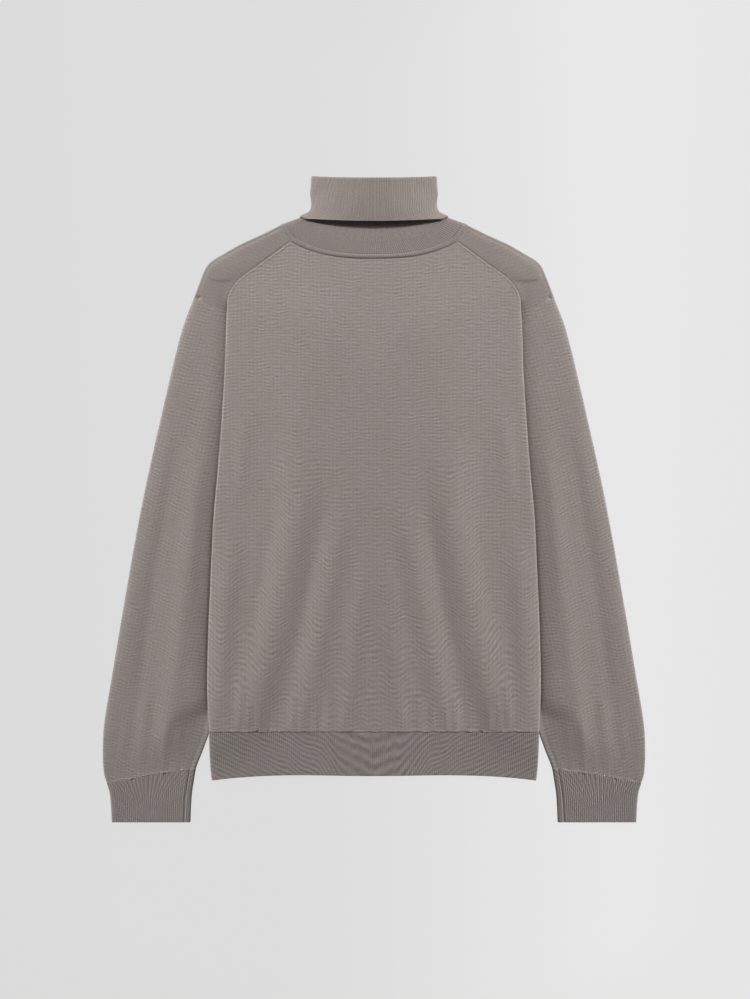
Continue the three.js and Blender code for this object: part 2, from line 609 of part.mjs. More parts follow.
// Raised ribs on the upper layer of a ring
function topRibs(columns, v0, v1) {
  return (u, v) => {
    const onTop = u > LOOP.top && u < LOOP.right && v >= v0 && v <= v1;
    return onTop && isCrest(columns, u) ? RIB_RELIEF : 0;
  };
}
const RIBS_FROM_CORD = 0.05; // the share of the neckband's depth between its cord and its ribs
function bandRaised(columns) {
  const ribs = topRibs(columns, CORD_SHARE + RIBS_FROM_CORD, 1);
  return (u, v) => {
    const inCord = (v - CORD_SHARE / 2) / (CORD_SHARE / 2);
    const cord = u > LOOP.top && u < LOOP.right ? CORD_RELIEF * Math.sqrt(Math.max(0, 1 - inCord ** 2)) : 0;
    return cord + ribs(u, v);
  };
}

const sweater = new THREE.Group();
function addPiece(name, geometry, colour, mirrored = false) {
  const material = new THREE.MeshStandardMaterial({ color: colour, roughness: WOOL_ROUGHNESS, metalness: 0 });
  const mesh = new THREE.Mesh(geometry, material);
  mesh.name = name;
  if (mirrored) mesh.scale.x = -1;
  sweater.add(mesh);
}
function addPair(name, geometry, colour) {
  addPiece(`${name}_right`, geometry, colour);
  addPiece(`${name}_left`, geometry, colour, true);
}

// How finely each piece is divided: rows as shares of its height, and numbers of columns
const LOW_FRONT_ROWS = [0, 0.015, 0.045, 0.09, 0.15, 0.23, 0.32, 0.43, 0.55];
const HIGH_FRONT_ROWS = [0.66, 0.76, 0.81, 0.86, 0.91, 0.955, 1];
const BACK_ROWS = [0, 0.08, 0.25, 0.45, 0.62, 0.75, 0.8, 0.84, 0.88, 0.92, 0.96, 1];
const RIB_ROWS = [0, 0.5, 1];
const LOW_SLEEVE_ROWS = [0, 0.03, 0.07, 0.12, 0.18, 0.25, 0.33, 0.41, 0.49];
const HIGH_SLEEVE_ROWS = [0.57, 0.65, 0.73, 0.81, 0.89, 0.95, 1];
const SADDLE_ROWS = 13;
const SADDLE_COLUMNS = [0, 0.14, 0.28, 0.42, 0.46, 0.5, 0.54, 0.58, 0.72, 0.86, 1];
const FLAP_ROWS = [0, 0.12, 0.35, 0.75, 1];
const FOLD_ROWS = [0.25, 0.5, 0.75];
const STAND_ROWS = [0, 0.4, 0.75, 0.93, 1];
const PANEL_COLUMNS = { face: 44, plain: 24 };
const SLEEVE_COLUMNS = { top: 28, fold: 4, bottom: 4 };
const CUFF_PLAIN = { top: 10, fold: 4, bottom: 4 };
const NECK_PLAIN = { top: 40, fold: 4, bottom: 16 };
const STAND_PLAIN = { top: 20, fold: 4, bottom: 6 };

// Body: rows lie closer where the gathers above the hem are
const frontColumns = panelColumns(PANEL_COLUMNS.face);
const plainFrontColumns = panelColumns(PANEL_COLUMNS.plain);
const frontCorner = (1 - EDGE_RADIUS / PANEL_WIDTH) / 2;
addPiece(
  "front",
  clothWall({
    at: bodyPanel(frontTop, frontCorner, frontHeight),
    rows: [...LOW_FRONT_ROWS, ...HIGH_FRONT_ROWS],
    faceColumns: () => frontColumns,
    plainColumns: plainFrontColumns,
  }),
  JERSEY,
);
const backColumns = evenSteps(PANEL_COLUMNS.plain);
addPiece(
  "back",
  clothWall({
    at: bodyPanel(backTop, 0.5, backHeight),
    rows: BACK_ROWS,
    faceColumns: () => backColumns,
    plainColumns: backColumns,
  }),
  JERSEY,
);

// Hem: a ribbed band in front, and a plain one behind that lies on the surface
const hemColumns = panelColumns(2 * ribCount(2 * PANEL_WIDTH, RIB.hem));
addPiece(
  "hem_front",
  clothWall({
    at: hemBand(frontHeight),
    rows: RIB_ROWS,
    faceColumns: () => hemColumns,
    plainColumns: plainFrontColumns,
    raised: (u) => (isCrest(hemColumns, u) ? RIB_RELIEF : 0),
  }),
  RIBBING,
);
addPiece(
  "hem_back",
  clothWall({
    at: hemBand(backHeight),
    rows: RIB_ROWS,
    faceColumns: () => backColumns,
    plainColumns: backColumns,
  }),
  RIBBING,
);

// Sleeves and cuffs
const sleeveColumns = loopColumns(SLEEVE_COLUMNS);
addPair(
  "sleeve",
  clothWall({
    at: flatTube(SLEEVE_INNER, SLEEVE_OUTER, { lowTrim: SEAM / 2, highTrim: SEAM / 2 }),
    rows: [...LOW_SLEEVE_ROWS, ...HIGH_SLEEVE_ROWS],
    faceColumns: () => sleeveColumns,
    plainColumns: sleeveColumns,
    ring: true,
  }),
  JERSEY,
);
const cuffColumns = loopColumns({ ...CUFF_PLAIN, top: 2 * ribCount(CUFF_TOP_WIDTH, RIB.cuff) });
addPair(
  "cuff",
  clothWall({
    at: flatTube(CUFF_INNER, CUFF_OUTER, { lowTrim: 0, highTrim: SEAM / 2 }),
    rows: RIB_ROWS,
    faceColumns: () => cuffColumns,
    plainColumns: loopColumns(CUFF_PLAIN),
    ring: true,
    raised: topRibs(cuffColumns, 0, 1),
  }),
  RIBBING,
);

// Saddles
addPair(
  "saddle",
  clothWall({
    at: saddlePlace,
    rows: evenSteps(SADDLE_ROWS),
    faceColumns: () => SADDLE_COLUMNS,
    plainColumns: SADDLE_COLUMNS,
  }),
  JERSEY,
);

// Neckband and collar: only the ribbed rows need a column for each rib's crest and valley
const plainRing = loopColumns(NECK_PLAIN);
const bandRibs = ribCount(2 * bandFront.length * BAND_RIBBED, RIB.band);
const bandColumns = loopColumns({ ...NECK_PLAIN, top: 2 * bandRibs });
const cordRows = RIB_ROWS.map((t) => t * CORD_SHARE);
addPiece(
  "neckband",
  clothWall({
    at: bandPlace,
    rows: [...cordRows, CORD_SHARE + RIBS_FROM_CORD, 1],
    faceColumns: (row) => (row < cordRows.length ? plainRing : bandColumns),
    plainColumns: plainRing,
    ring: true,
    raised: bandRaised(bandColumns),
  }),
  RIBBING,
);
const collarColumns = loopColumns({ ...STAND_PLAIN, top: 2 * ribCount(COLLAR_TOP_WIDTH, RIB.collar) });
const standColumns = loopColumns(STAND_PLAIN);
const flapRows = FLAP_ROWS.map((t) => t * COLLAR.flapEnd);
const foldRows = FOLD_ROWS.map((t) => lerp(COLLAR.flapEnd, COLLAR.standStart, t));
const standRows = STAND_ROWS.map((t) => lerp(COLLAR.standStart, 1, t));
addPiece(
  "collar",
  clothWall({
    at: collarPlace,
    rows: [...flapRows, ...foldRows, ...standRows],
    faceColumns: (row) => (row < flapRows.length ? collarColumns : standColumns),
    plainColumns: standColumns,
    ring: true,
    raised: topRibs(collarColumns, 0, COLLAR.flapEnd),
  }),
  RIBBING,
);

export default sweater;
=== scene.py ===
"""A fine-knit turtleneck sweater, laid flat on its back with its collar turned down.

Sizes are in millimetres, as a knitter states them, and MM turns them into metres. X runs across the sweater,
Y from hem to collar, and Z up off the surface that it lies on. The sweater is the same on both sides, so a side
piece is worked out for +X and mirrored for -X.
"""

import math

import bmesh
import bpy
import numpy as np
from mathutils import Matrix, Vector


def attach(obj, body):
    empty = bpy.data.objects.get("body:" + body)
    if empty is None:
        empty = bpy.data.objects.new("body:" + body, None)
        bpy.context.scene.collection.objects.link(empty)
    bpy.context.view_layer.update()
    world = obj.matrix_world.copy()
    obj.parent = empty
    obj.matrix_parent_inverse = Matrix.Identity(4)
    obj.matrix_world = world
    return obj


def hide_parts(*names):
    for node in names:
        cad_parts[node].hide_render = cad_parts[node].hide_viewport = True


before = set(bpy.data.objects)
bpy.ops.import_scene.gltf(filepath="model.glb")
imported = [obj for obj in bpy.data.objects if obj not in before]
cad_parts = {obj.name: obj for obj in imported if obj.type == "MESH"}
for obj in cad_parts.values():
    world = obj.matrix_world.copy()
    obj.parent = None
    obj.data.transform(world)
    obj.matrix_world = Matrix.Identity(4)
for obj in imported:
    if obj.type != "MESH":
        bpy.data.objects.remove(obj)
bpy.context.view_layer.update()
MM = 0.001

# Camera: straight above the sweater, with the photograph's framing
VIEW_HEIGHT = 1228.8  # what the picture's long side takes in, at the level of the floor
LENS = 100
SENSOR = 36
VIEW_CENTRE = (1.2, -0.3)

# Cloth and clearances
CLOTH = 1.2
SEAM = 0.3  # between layers that lie on each other
JOIN = 0.04  # left open where two pieces are sewn together
HALF = CLOTH / 2

# Driving dimensions of the sweater
COLLAR_TOP = 396.9
CUFF_END = -396.9
HEM_SEAM = -285
HEM_END = -340
HEM_CORNER_DROP = 5.5
HEM_WAVE = 1.1  # how much the hem's edge rises halfway to its corners
NECK_FRONT = 296
NECK_BACK = 331
NECK_CORNER = (102, 316.5)
BAND_TOP_BACK = 345

# Heights of the middle surfaces
UNDER = HALF
OVER_LAID = UNDER + CLOTH + 0.8
BODY_LIFT = 3.4  # front above back by the neckline and at the hem
MIDDLE_LIFT = 5.0  # and between them, where the front bridges the tucked sleeves
MIDDLE_LIFT_RISE = (-330, 150)
MIDDLE_LIFT_FALL = (240, 100)
TUCKED_LIFT = 2.8
TUCK_RISE = OVER_LAID + HALF + SEAM
TUCK_CLEAR_SIDE = 14
TUCK_CLEAR_TOP = 18
TUCK_RAMP_SIDE = 75
TUCK_RAMP_TOP = 60
TUCK_END = (-338, -290)
SLEEVE_LOFT = 2.0  # air in a sleeve towards its outer edge
INNER_LOFT = (6.4, 3.4)  # and where it rises beside the body, low down and at the top
INNER_LOFT_REACH = 90
RISE_START = 0.3  # how far from the body's side a sleeve begins to rise
RISE_WIDTH = (36, 18)
RISE_SPAN = (-190, 150)
RISE_LEAVES = {"from": -235, "over": 95, "by": 10, "wider": 1.0}  # towards the cuff it leaves the body's side
SLEEVE_EDGE_WIDTH = 12
CUFF_LOFT = 0.8
CUFF_BLEND = (-345, -292)
SADDLE_LOFT = (2.8, 1.4)  # over the sleeve and by the neck
EDGE_RADIUS = 1.6
EDGE_DROP = 0.45
EDGE_DROP_WIDTH = 7
FOLD_RADIUS = 1.4

# Half widths at a height, from the hem upwards: (y, x)
BODY_SIDE = ((-346, 199.5), (-327, 201.5), (-285, 203), (-228, 205), (-157, 203.5), (-100, 201), (-25, 197.5),
             (36, 192), (102, 187), (159, 183.5), (208, 182), (240, 180.5), (300, 180))
SLEEVE_OUTER = ((-349.5, 328.4), (-337, 332), (-315, 333.4), (-278, 332), (-222, 323), (-130, 307.5), (-7, 285.5),
                (116, 258.5), (208, 236), (247.5, 221.5))
SLEEVE_INNER = ((-331, 219), (-327, 217.7), (-302, 207.9), (-280, 200.5), (-247, 194), (-124, 167), (-1, 138),
                (122, 109.5), (193.5, 88.6))
CUFF_OUTER = ((CUFF_END, 322.4), (-376, 323.5), (-361, 325), (-349.5, 328.4))
CUFF_INNER = ((CUFF_END, 225.7), (-364, 224), (-345, 221.3), (-331, 219))
COLLAR_SIDE = ((345.2, 93.3), (347.3, 91.6), (349, 88.5), (351, 84.2), (354, 80), (358, 77.8), (364, 77.3),
               (375, 78.5), (386, 77.6), (394, 77.3), (397, 76.6))

# Seam lines seen from above: (x, y)
SLEEVE_TOP = ((88.6, 193.5), (221.5, 247.5))
SADDLE_SEAM = ((102, 316.5), (128, 297), (152.5, 279.5), (161, 273.5), (168.5, 266), (174.7, 257.5), (178.5, 249),
               (180.2, 240), (180.6, 230))
SHOULDER = ((221.5, 247.5), (215.3, 263.5), (209.6, 278), (205, 287), (198, 293.8), (186, 301), (165, 313),
            (138, 325.5), (114.5, 337.3))
NECK_SIDE = ((102, 316.5), (108.2, 327), (114.5, 337.3))
BAND_TOP = ((0, 314), (29.5, 316.2), (54, 320.5), (72.6, 328.9), (91.2, 345.2))
SADDLE_UNDER = ((88.9, 193.8), (128, 222), (160, 240), (172.8, 247.3), (176.6, 257), (169.4, 266.8))

# Soft folds: a line down three points (x0, y0), (x1, y1), (x2, y2), then its half width and its height
BODY_FOLDS = (
    (82, 90, 113, -120, 153, -279, 24, 2.6),
    (34, 30, 58, -120, 91, -279, 17, 1.6),
    (7, -50, 20, -150, 29, -279, 12, 1.0),
    (172, -20, 186, -170, 191, -279, 15, 1.7),
    (156, 120, 162, 60, 166, 0, 10, 0.7),
)
SLEEVE_FOLDS = (
    (213, 190, 266, 0, 300, -247, 11, 0.6),
    (202, 160, 226, -62, 262, -335, 14, 1.2),
    (276, -225, 283, -280, 287, -335, 8, 0.9),
)
# Soft folds of the hidden side
BACK_FOLDS = (
    (60, 150, 88, -60, 122, -272, 16, 0.7),
    (18, 60, 30, -100, 41, -270, 14, 0.5),
    (148, 90, 158, -50, 171, -268, 13, 0.5),
    (96, 10, 118, -120, 141, -240, 9, 0.4),
)
SLEEVE_BACK_FOLDS = (
    (214, 180, 246, 0, 280, -230, 10, 0.6),
    (222, 90, 238, -100, 256, -320, 9, 0.5),
)
# Finer folds that only the cloth here has
BODY_CREASES = (
    (162, -215, 164, -248, 166, -282, 5, 0.6),
    (154, -246, 154, -262, 155, -283, 3, 0.4),
    (141, -250, 141, -264, 142, -283, 3.5, 0.5),
    (127, -252, 127, -266, 128, -283, 4, -0.2),
    (100, -232, 100, -256, 101, -283, 5, 0.6),
    (89, -252, 89, -266, 89, -283, 3, 0.4),
    (72, -250, 72, -266, 72, -283, 3, 0.4),
    (56, -240, 56, -260, 56, -283, 5, 0.5),
    (36, -252, 36, -266, 36, -283, 4, 0.4),
    (8, -244, 8, -262, 8, -283, 5, 0.4),
    (0, -60, 0, -170, 0, -283, 7, 0.35),
    (68, -20, 84, -120, 100, -200, 8, -0.4),
    (118, 10, 140, -110, 152, -170, 8, -0.35),
    (150, 235, 128, 214, 104, 206, 9, 0.3),
    (120, 250, 92, 232, 60, 226, 8, 0.25),
    (95, 120, 100, 60, 108, 0, 14, 0.4),
    (40, 130, 44, 60, 46, 0, 12, 0.3),
)
SLEEVE_CREASES = (
    (232, 150, 262, -50, 292, -240, 8, -0.4),
    (290, -40, 300, -130, 312, -220, 9, 0.35),
    (254, -262, 257, -295, 259, -337, 4, 0.45),
    (236, -262, 238, -296, 240, -336, 5, 0.5),
    (222, -285, 224, -305, 227, -335, 4, 0.35),
    (303, -262, 307, -296, 309, -340, 6, 0.5),
    (296, -300, 297, -318, 298, -340, 3, 0.35),
    (270, -300, 271, -318, 272, -338, 3, 0.35),
    (206, 60, 212, -40, 216, -140, 6, -0.3),
)


# Numbers and curves
def lerp(a, b, t):
    return a + (b - a) * t


def smooth(t):
    s = np.clip(t, 0, 1)
    return s * s * (3 - 2 * s)


def quarter_round(t):
    """A quarter round, from 0 at an edge to 1 at its full height."""
    return np.sqrt(1 - (1 - np.clip(t, 0, 1)) ** 2)


def bump_at(distance, width):
    return np.exp(-((distance / width) ** 2))


def uneven(t, seed=0.0):
    """A value from -1 to 1 that wanders along t, and never repeats over the length of a piece."""
    return (np.sin(t * 1.0 + seed) + np.sin(t * 2.37 + seed * 1.7 + 1) + np.sin(t * 4.11 + seed * 0.6 + 2)) / 3


def width_at(table, y):
    """The half width of a table at a height, on a smooth curve through its rows."""
    heights, widths = np.array(table, float).T
    last = len(heights) - 1
    ahead = np.minimum(np.arange(last + 1) + 1, last)
    behind = np.maximum(np.arange(last + 1) - 1, 0)
    slopes = (widths[ahead] - widths[behind]) / (heights[ahead] - heights[behind])
    i = np.clip(np.searchsorted(heights, y, side="right") - 1, 0, last - 1)
    span = heights[i + 1] - heights[i]
    t = np.clip((y - heights[i]) / span, 0, 1)
    return ((2 * t**3 - 3 * t**2 + 1) * widths[i] + (t**3 - 2 * t**2 + t) * span * slopes[i]
            + (3 * t**2 - 2 * t**3) * widths[i + 1] + (t**3 - t**2) * span * slopes[i + 1])


class PlanLine:
    """A line seen from above, which gives the point at any share of its length."""

    def __init__(self, points):
        self.points = np.array(points, float)
        steps = np.hypot(*np.diff(self.points, axis=0).T)
        self.lengths = np.concatenate([[0], np.cumsum(steps)])
        self.length = self.lengths[-1]

    def at(self, share):
        wanted = np.clip(share, 0, 1) * self.length
        return (np.interp(wanted, self.lengths, self.points[:, 0]),
                np.interp(wanted, self.lengths, self.points[:, 1]))

    def moved(self, distance):
        """The same line, moved to its left."""
        ahead = np.vstack([self.points[1:], self.points[-1:]])
        behind = np.vstack([self.points[:1], self.points[:-1]])
        along = ahead - behind
        along /= np.linalg.norm(along, axis=1)[:, None]
        return PlanLine(self.points + distance * np.column_stack([-along[:, 1], along[:, 0]]))

    def away(self, x, y):
        """How far each point is from the line."""
        nearest = np.full(np.shape(x), np.inf)
        for (ax, ay), (bx, by) in zip(self.points[:-1], self.points[1:]):
            t = np.clip(((x - ax) * (bx - ax) + (y - ay) * (by - ay)) / ((bx - ax) ** 2 + (by - ay) ** 2), 0, 1)
            nearest = np.minimum(nearest, np.hypot(x - lerp(ax, bx, t), y - lerp(ay, by, t)))
        return nearest


CURVE_STEPS = 48


def curve_points(points):
    """Evenly spaced points on a smooth curve through a few points."""
    p = np.array(points, float)
    t = np.linspace(0, len(p) - 1, 10 * CURVE_STEPS + 1)
    i = np.minimum(t.astype(int), len(p) - 2)
    w = (t - i)[:, None]
    start, end = p[i], p[i + 1]
    leaving = (end - p[np.maximum(i - 1, 0)]) / 2
    reaching = (p[np.minimum(i + 2, len(p) - 1)] - start) / 2
    dense = ((2 * start - 2 * end + leaving + reaching) * w**3
             + (-3 * start + 3 * end - 2 * leaving - reaching) * w**2 + leaving * w + start)
    return np.column_stack(PlanLine(dense).at(np.linspace(0, 1, CURVE_STEPS + 1)))


NECK_STEPS = 16
FRONT_BEND = 2.8
BACK_BEND = 2


def neckline(centre_y, bend):
    """A neckline from the centre line to the corner where it meets the saddle."""
    share = np.linspace(0, 1, NECK_STEPS + 1)
    return np.column_stack([NECK_CORNER[0] * share, centre_y + (NECK_CORNER[1] - centre_y) * share**bend])


saddle_seam = curve_points(SADDLE_SEAM)
neck_side = curve_points(NECK_SIDE)
front_top = PlanLine(np.vstack([neckline(NECK_FRONT, FRONT_BEND), saddle_seam[1:]]))
back_top = PlanLine(np.vstack([neckline(NECK_BACK, BACK_BEND), saddle_seam[1:]]))
band_front = PlanLine(np.vstack([neckline(NECK_FRONT, FRONT_BEND), neck_side[1:]]))
band_back = PlanLine(np.vstack([neckline(NECK_BACK, BACK_BEND), neck_side[1:]]))
band_top_front = PlanLine(curve_points(BAND_TOP))
band_top_back = PlanLine([(0, BAND_TOP_BACK), BAND_TOP[-1]])
saddle_seam_line = PlanLine(saddle_seam)


# Height of the cloth over the floor
FOLD_RISE = 0.35  # the share of a fold's length over which it rises
FOLD_FADE = (1.08, 0.22)


def fold_relief(folds, x, y):
    total = np.zeros(np.shape(x))
    for x0, y0, x1, y1, x2, y2, width, height in folds:
        t = (y0 - y) / (y0 - y2)
        middle = (y0 - y1) / (y0 - y2)
        bow = (x1 - lerp(x0, x2, middle)) / (middle * (1 - middle))
        aside = np.abs(x) - lerp(x0, x2, t) - bow * t * (1 - t)
        ends = smooth(t / FOLD_RISE) * smooth((FOLD_FADE[0] - t) / FOLD_FADE[1])
        total += height * bump_at(aside, width) * ends
    return total


def body_side(y):
    return width_at(BODY_SIDE, y)


def tucked(x, y):
    """How much of a tucked sleeve's thickness the body is lifted by."""
    (inner_x, inner_y), (outer_x, outer_y) = SLEEVE_TOP
    slope = (outer_y - inner_y) / (outer_x - inner_x)
    beside = width_at(SLEEVE_INNER, y) - np.abs(x) - TUCK_CLEAR_SIDE
    above = (y - inner_y - slope * (np.abs(x) - inner_x)) / math.hypot(1, slope) - TUCK_CLEAR_TOP
    low = smooth((y - TUCK_END[0]) / (TUCK_END[1] - TUCK_END[0]))
    return smooth(1 - beside / TUCK_RAMP_SIDE) * smooth(1 - above / TUCK_RAMP_TOP) * low


def back_height(x, y):
    return UNDER + TUCK_RISE * tucked(x, y)


def back_relief(x, y):
    """The back's own folds, which die away over the tucked sleeves."""
    return fold_relief(BACK_FOLDS, x, y) * (1 - smooth(3 * tucked(x, y)))


def front_height(x, y, creases=()):
    edge = body_side(y) - HALF - np.abs(x)
    back = back_height(x, y)
    sunk = EDGE_DROP * (1 - np.clip(edge / EDGE_DROP_WIDTH, 0, 1)) ** 2
    bridged = (smooth((y - MIDDLE_LIFT_RISE[0]) / MIDDLE_LIFT_RISE[1])
               * smooth((MIDDLE_LIFT_FALL[0] - y) / MIDDLE_LIFT_FALL[1]))
    lift = lerp(lerp(BODY_LIFT, MIDDLE_LIFT, bridged), TUCKED_LIFT, tucked(x, y))
    full = back + lift - sunk + fold_relief((*BODY_FOLDS, *creases), x, y)
    return lerp(back + HALF + SEAM, full, quarter_round(edge / EDGE_RADIUS))


def sleeve_height(x, y, creases=()):
    """A sleeve's upper layer: flat under the body, with some air in the part that shows."""
    leaves = smooth((RISE_LEAVES["from"] - y) / RISE_LEAVES["over"])
    from_body = np.abs(x) - body_side(y) - RISE_START - RISE_LEAVES["by"] * leaves
    upward = smooth((y - RISE_SPAN[0]) / (RISE_SPAN[1] - RISE_SPAN[0]))
    risen = from_body / lerp(*RISE_WIDTH, upward) / (1 + RISE_LEAVES["wider"] * leaves)
    seen = lerp(quarter_round(risen), smooth(risen), smooth(3 * leaves))
    sleeveward = smooth((y - CUFF_BLEND[0]) / (CUFF_BLEND[1] - CUFF_BLEND[0]))
    outer = width_at(SLEEVE_OUTER, y)
    inner = np.where(y < SLEEVE_INNER[3][0], width_at(SLEEVE_INNER, y), 0)
    edge = np.minimum(outer - np.abs(x), np.abs(x) - inner)
    air = lerp(lerp(*INNER_LOFT, upward), SLEEVE_LOFT, smooth(from_body / INNER_LOFT_REACH))
    loft = (air + fold_relief((*SLEEVE_FOLDS, *creases), x, y)) * seen
    return OVER_LAID + lerp(CUFF_LOFT, loft, sleeveward) * quarter_round(edge / SLEEVE_EDGE_WIDTH)


# A flattened tube: its section runs along the top, round the right fold, back under and round the left fold
LOOP_TOP, LOOP_RIGHT, LOOP_BOTTOM, LOOP_LEFT = 0.05, 0.5, 0.6, 0.95


def loop_place(u, fold_share):
    """across is -1 to 1, and up is -1 on the lower layer and 1 on the upper one."""
    turn = u % 1
    flat = 1 - fold_share
    right = math.pi / 2 - math.pi * (turn - LOOP_RIGHT) / (LOOP_BOTTOM - LOOP_RIGHT)
    left = math.pi / 2 - math.pi * ((turn - LOOP_LEFT) % 1) / (LOOP_BOTTOM - LOOP_RIGHT)
    on_top = (turn >= LOOP_TOP) & (turn <= LOOP_RIGHT)
    below = (turn >= LOOP_BOTTOM) & (turn <= LOOP_LEFT)
    at_right = (turn > LOOP_RIGHT) & (turn < LOOP_BOTTOM)
    across = np.select(
        [on_top, below, at_right],
        [lerp(-flat, flat, (turn - LOOP_TOP) / (LOOP_RIGHT - LOOP_TOP)),
         lerp(flat, -flat, (turn - LOOP_BOTTOM) / (LOOP_LEFT - LOOP_BOTTOM)),
         flat + fold_share * np.cos(right)],
        -flat - fold_share * np.cos(left))
    up = np.select([on_top, below, at_right], [1.0, -1.0, np.sin(right)], -np.sin(left))
    return across, up


def loop_columns(top, fold, bottom):
    """Places of a tube's columns, from the middle of its left fold all the way round."""
    half_fold = np.linspace(0, LOOP_TOP, fold // 2, endpoint=False)
    return np.concatenate([
        half_fold,
        np.linspace(LOOP_TOP, LOOP_RIGHT, top, endpoint=False),
        np.linspace(LOOP_RIGHT, LOOP_BOTTOM, fold, endpoint=False),
        np.linspace(LOOP_BOTTOM, LOOP_LEFT, bottom, endpoint=False),
        np.append(LOOP_LEFT + half_fold, 1)])


def top_share(u):
    """How far along the upper layer a place is, from 0 to 1."""
    return (u - LOOP_TOP) / (LOOP_RIGHT - LOOP_TOP)


def rib_lift(u, ribs, relief):
    """Rounded ribs on the upper layer of a tube, fading at its folds."""
    share = top_share(u)
    inside = smooth(share * ribs) * smooth((1 - share) * ribs)
    return relief * inside * (1 - np.cos(2 * math.pi * ribs * share)) / 2


# Small pits where the sewing pulls the cloth in: where, radius and depth
PITS = ((215.0, 247.4, 2.2, 2.4), (142.7, -285.2, 1.9, 1.6), (130.4, -285.2, 1.9, 1.2), (255.5, -338.5, 2.0, 0.8),
        (296, -344.5, 1.8, 0.7), (238, -332.0, 1.8, 0.7))


def pitted(x, y):
    total = np.zeros(np.shape(x))
    for pit_x, pit_y, radius, depth in PITS:
        total += depth * bump_at(np.hypot(np.abs(x) - pit_x, y - pit_y), radius)
    return total


# The two body panels and the hem
PANEL_WIDTH = 203
FRONT_CORNER = (1 - EDGE_RADIUS / PANEL_WIDTH) / 2
SEAM_RIDGE = {"in": 1.0, "width": 0.8, "height": 0.3}
HEM_SEAM_RIDGE = {"in": 1.2, "width": 1.0, "height": 0.4}
HEM_SEAM_HOLLOW = {"width": 1.6, "depth": 0.4}
PUCKER_REACH = 9


def panel_plan(top, corner_place, u, v):
    """Where a body panel lies, from the hem seam up to its neckline and saddle seams."""
    cut = top.moved(-JOIN / 2)
    corner_share = top.lengths[NECK_STEPS] / top.length
    w = 2 * u - 1
    past = np.abs(w) - corner_place
    end_x, end_y = cut.at(np.where(past < 0, corner_share * (1 + past / corner_place),
                                   lerp(corner_share, 1, past / max(1 - corner_place, 1e-9))))
    y = lerp(HEM_SEAM + JOIN / 2, end_y, v)
    share = lerp(np.abs(w), np.minimum(1, end_x / (body_side(end_y) - HALF)), v)
    return np.sign(w) * share * (body_side(y) - HALF), y


def front_place(u, v):
    x, y = panel_plan(front_top, FRONT_CORNER, u, v)
    z = front_height(x, y, BODY_CREASES)
    by_seam = bump_at(saddle_seam_line.away(np.abs(x), y) - SEAM_RIDGE["in"], SEAM_RIDGE["width"])
    z = z + SEAM_RIDGE["height"] * by_seam * (1 + 0.25 * uneven(y / 3))
    above_hem = y - HEM_SEAM
    dashes = 0.6 + 0.7 * uneven(x / 2.2, 3)
    z = z + HEM_SEAM_RIDGE["height"] * dashes * bump_at(above_hem - HEM_SEAM_RIDGE["in"], HEM_SEAM_RIDGE["width"])
    z = z + 0.3 * uneven(x / 4.5, 1) * np.exp(-above_hem / PUCKER_REACH)
    return x, y, z - pitted(x, y)


def back_place(u, v):
    x, y = panel_plan(back_top, 0.5, u, v)
    return x, y, back_height(x, y) + back_relief(x, y)


def hem_plan(u, v):
    w = 2 * u - 1
    end = HEM_END - HEM_CORNER_DROP * np.abs(w) ** 5 + HEM_WAVE * np.sin(math.pi * w) ** 2
    y = lerp(end, HEM_SEAM - JOIN / 2, v)
    return w * (body_side(y) - HALF), y


HEM_RIBS = 168
HEM_RELIEF = 0.4


def hem_front_place(u, v):
    x, y = hem_plan(u, v)
    ribs = HEM_RELIEF * (1 - np.cos(2 * math.pi * HEM_RIBS * u)) / 2
    sunk = HEM_SEAM_HOLLOW["depth"] * bump_at(HEM_SEAM - y, HEM_SEAM_HOLLOW["width"])
    return x, y, front_height(x, y) + ribs - sunk - pitted(x, y)


def hem_back_place(u, v):
    x, y = hem_plan(u, v)
    return x, y, back_height(x, y)


# Sleeves and cuffs
SLEEVE_LENGTH = 580
CUFF_RIBS = 40
CUFF_RELIEF = 0.4
CUFF_SEAM_IN = 7  # how far from its inner edge a cuff and sleeve are sewn up
CUFF_WAVE = 1.6
CUFF_WAVE_REACH = 40
CUFF_FAN = {"x": 279, "spread": 0.022, "even": 45}  # the lines on a cuff open upwards from its middle


def cuff_wave(across, y):
    """How much the seam between sleeve and cuff swings up from a straight line."""
    near = smooth(1 - np.abs(y - (CUFF_INNER[-1][0] + CUFF_OUTER[-1][0]) / 2) / CUFF_WAVE_REACH)
    return CUFF_WAVE * (1 - across**2 + 0.5 * uneven(across * 5, 2)) * near


def tube_plan(inner_edge, outer_edge, low_trim, high_trim, u, v):
    sides = []
    for table in (inner_edge, outer_edge):
        y = lerp(table[0][0], table[-1][0], v)
        sides.append((width_at(table, y), y))
    (inner_x, inner_y), (outer_x, outer_y) = sides
    reach = np.hypot(outer_x - inner_x, outer_y - inner_y)
    half_width = reach / 2 - HALF
    across, up = loop_place(u, FOLD_RADIUS / half_width)
    x = (inner_x + outer_x) / 2 + across * half_width * (outer_x - inner_x) / reach
    y = (inner_y + outer_y) / 2 + across * half_width * (outer_y - inner_y) / reach
    y = y + cuff_wave(across, (inner_y + outer_y) / 2)
    return x, y + lerp(low_trim, -high_trim, v), across, up, half_width


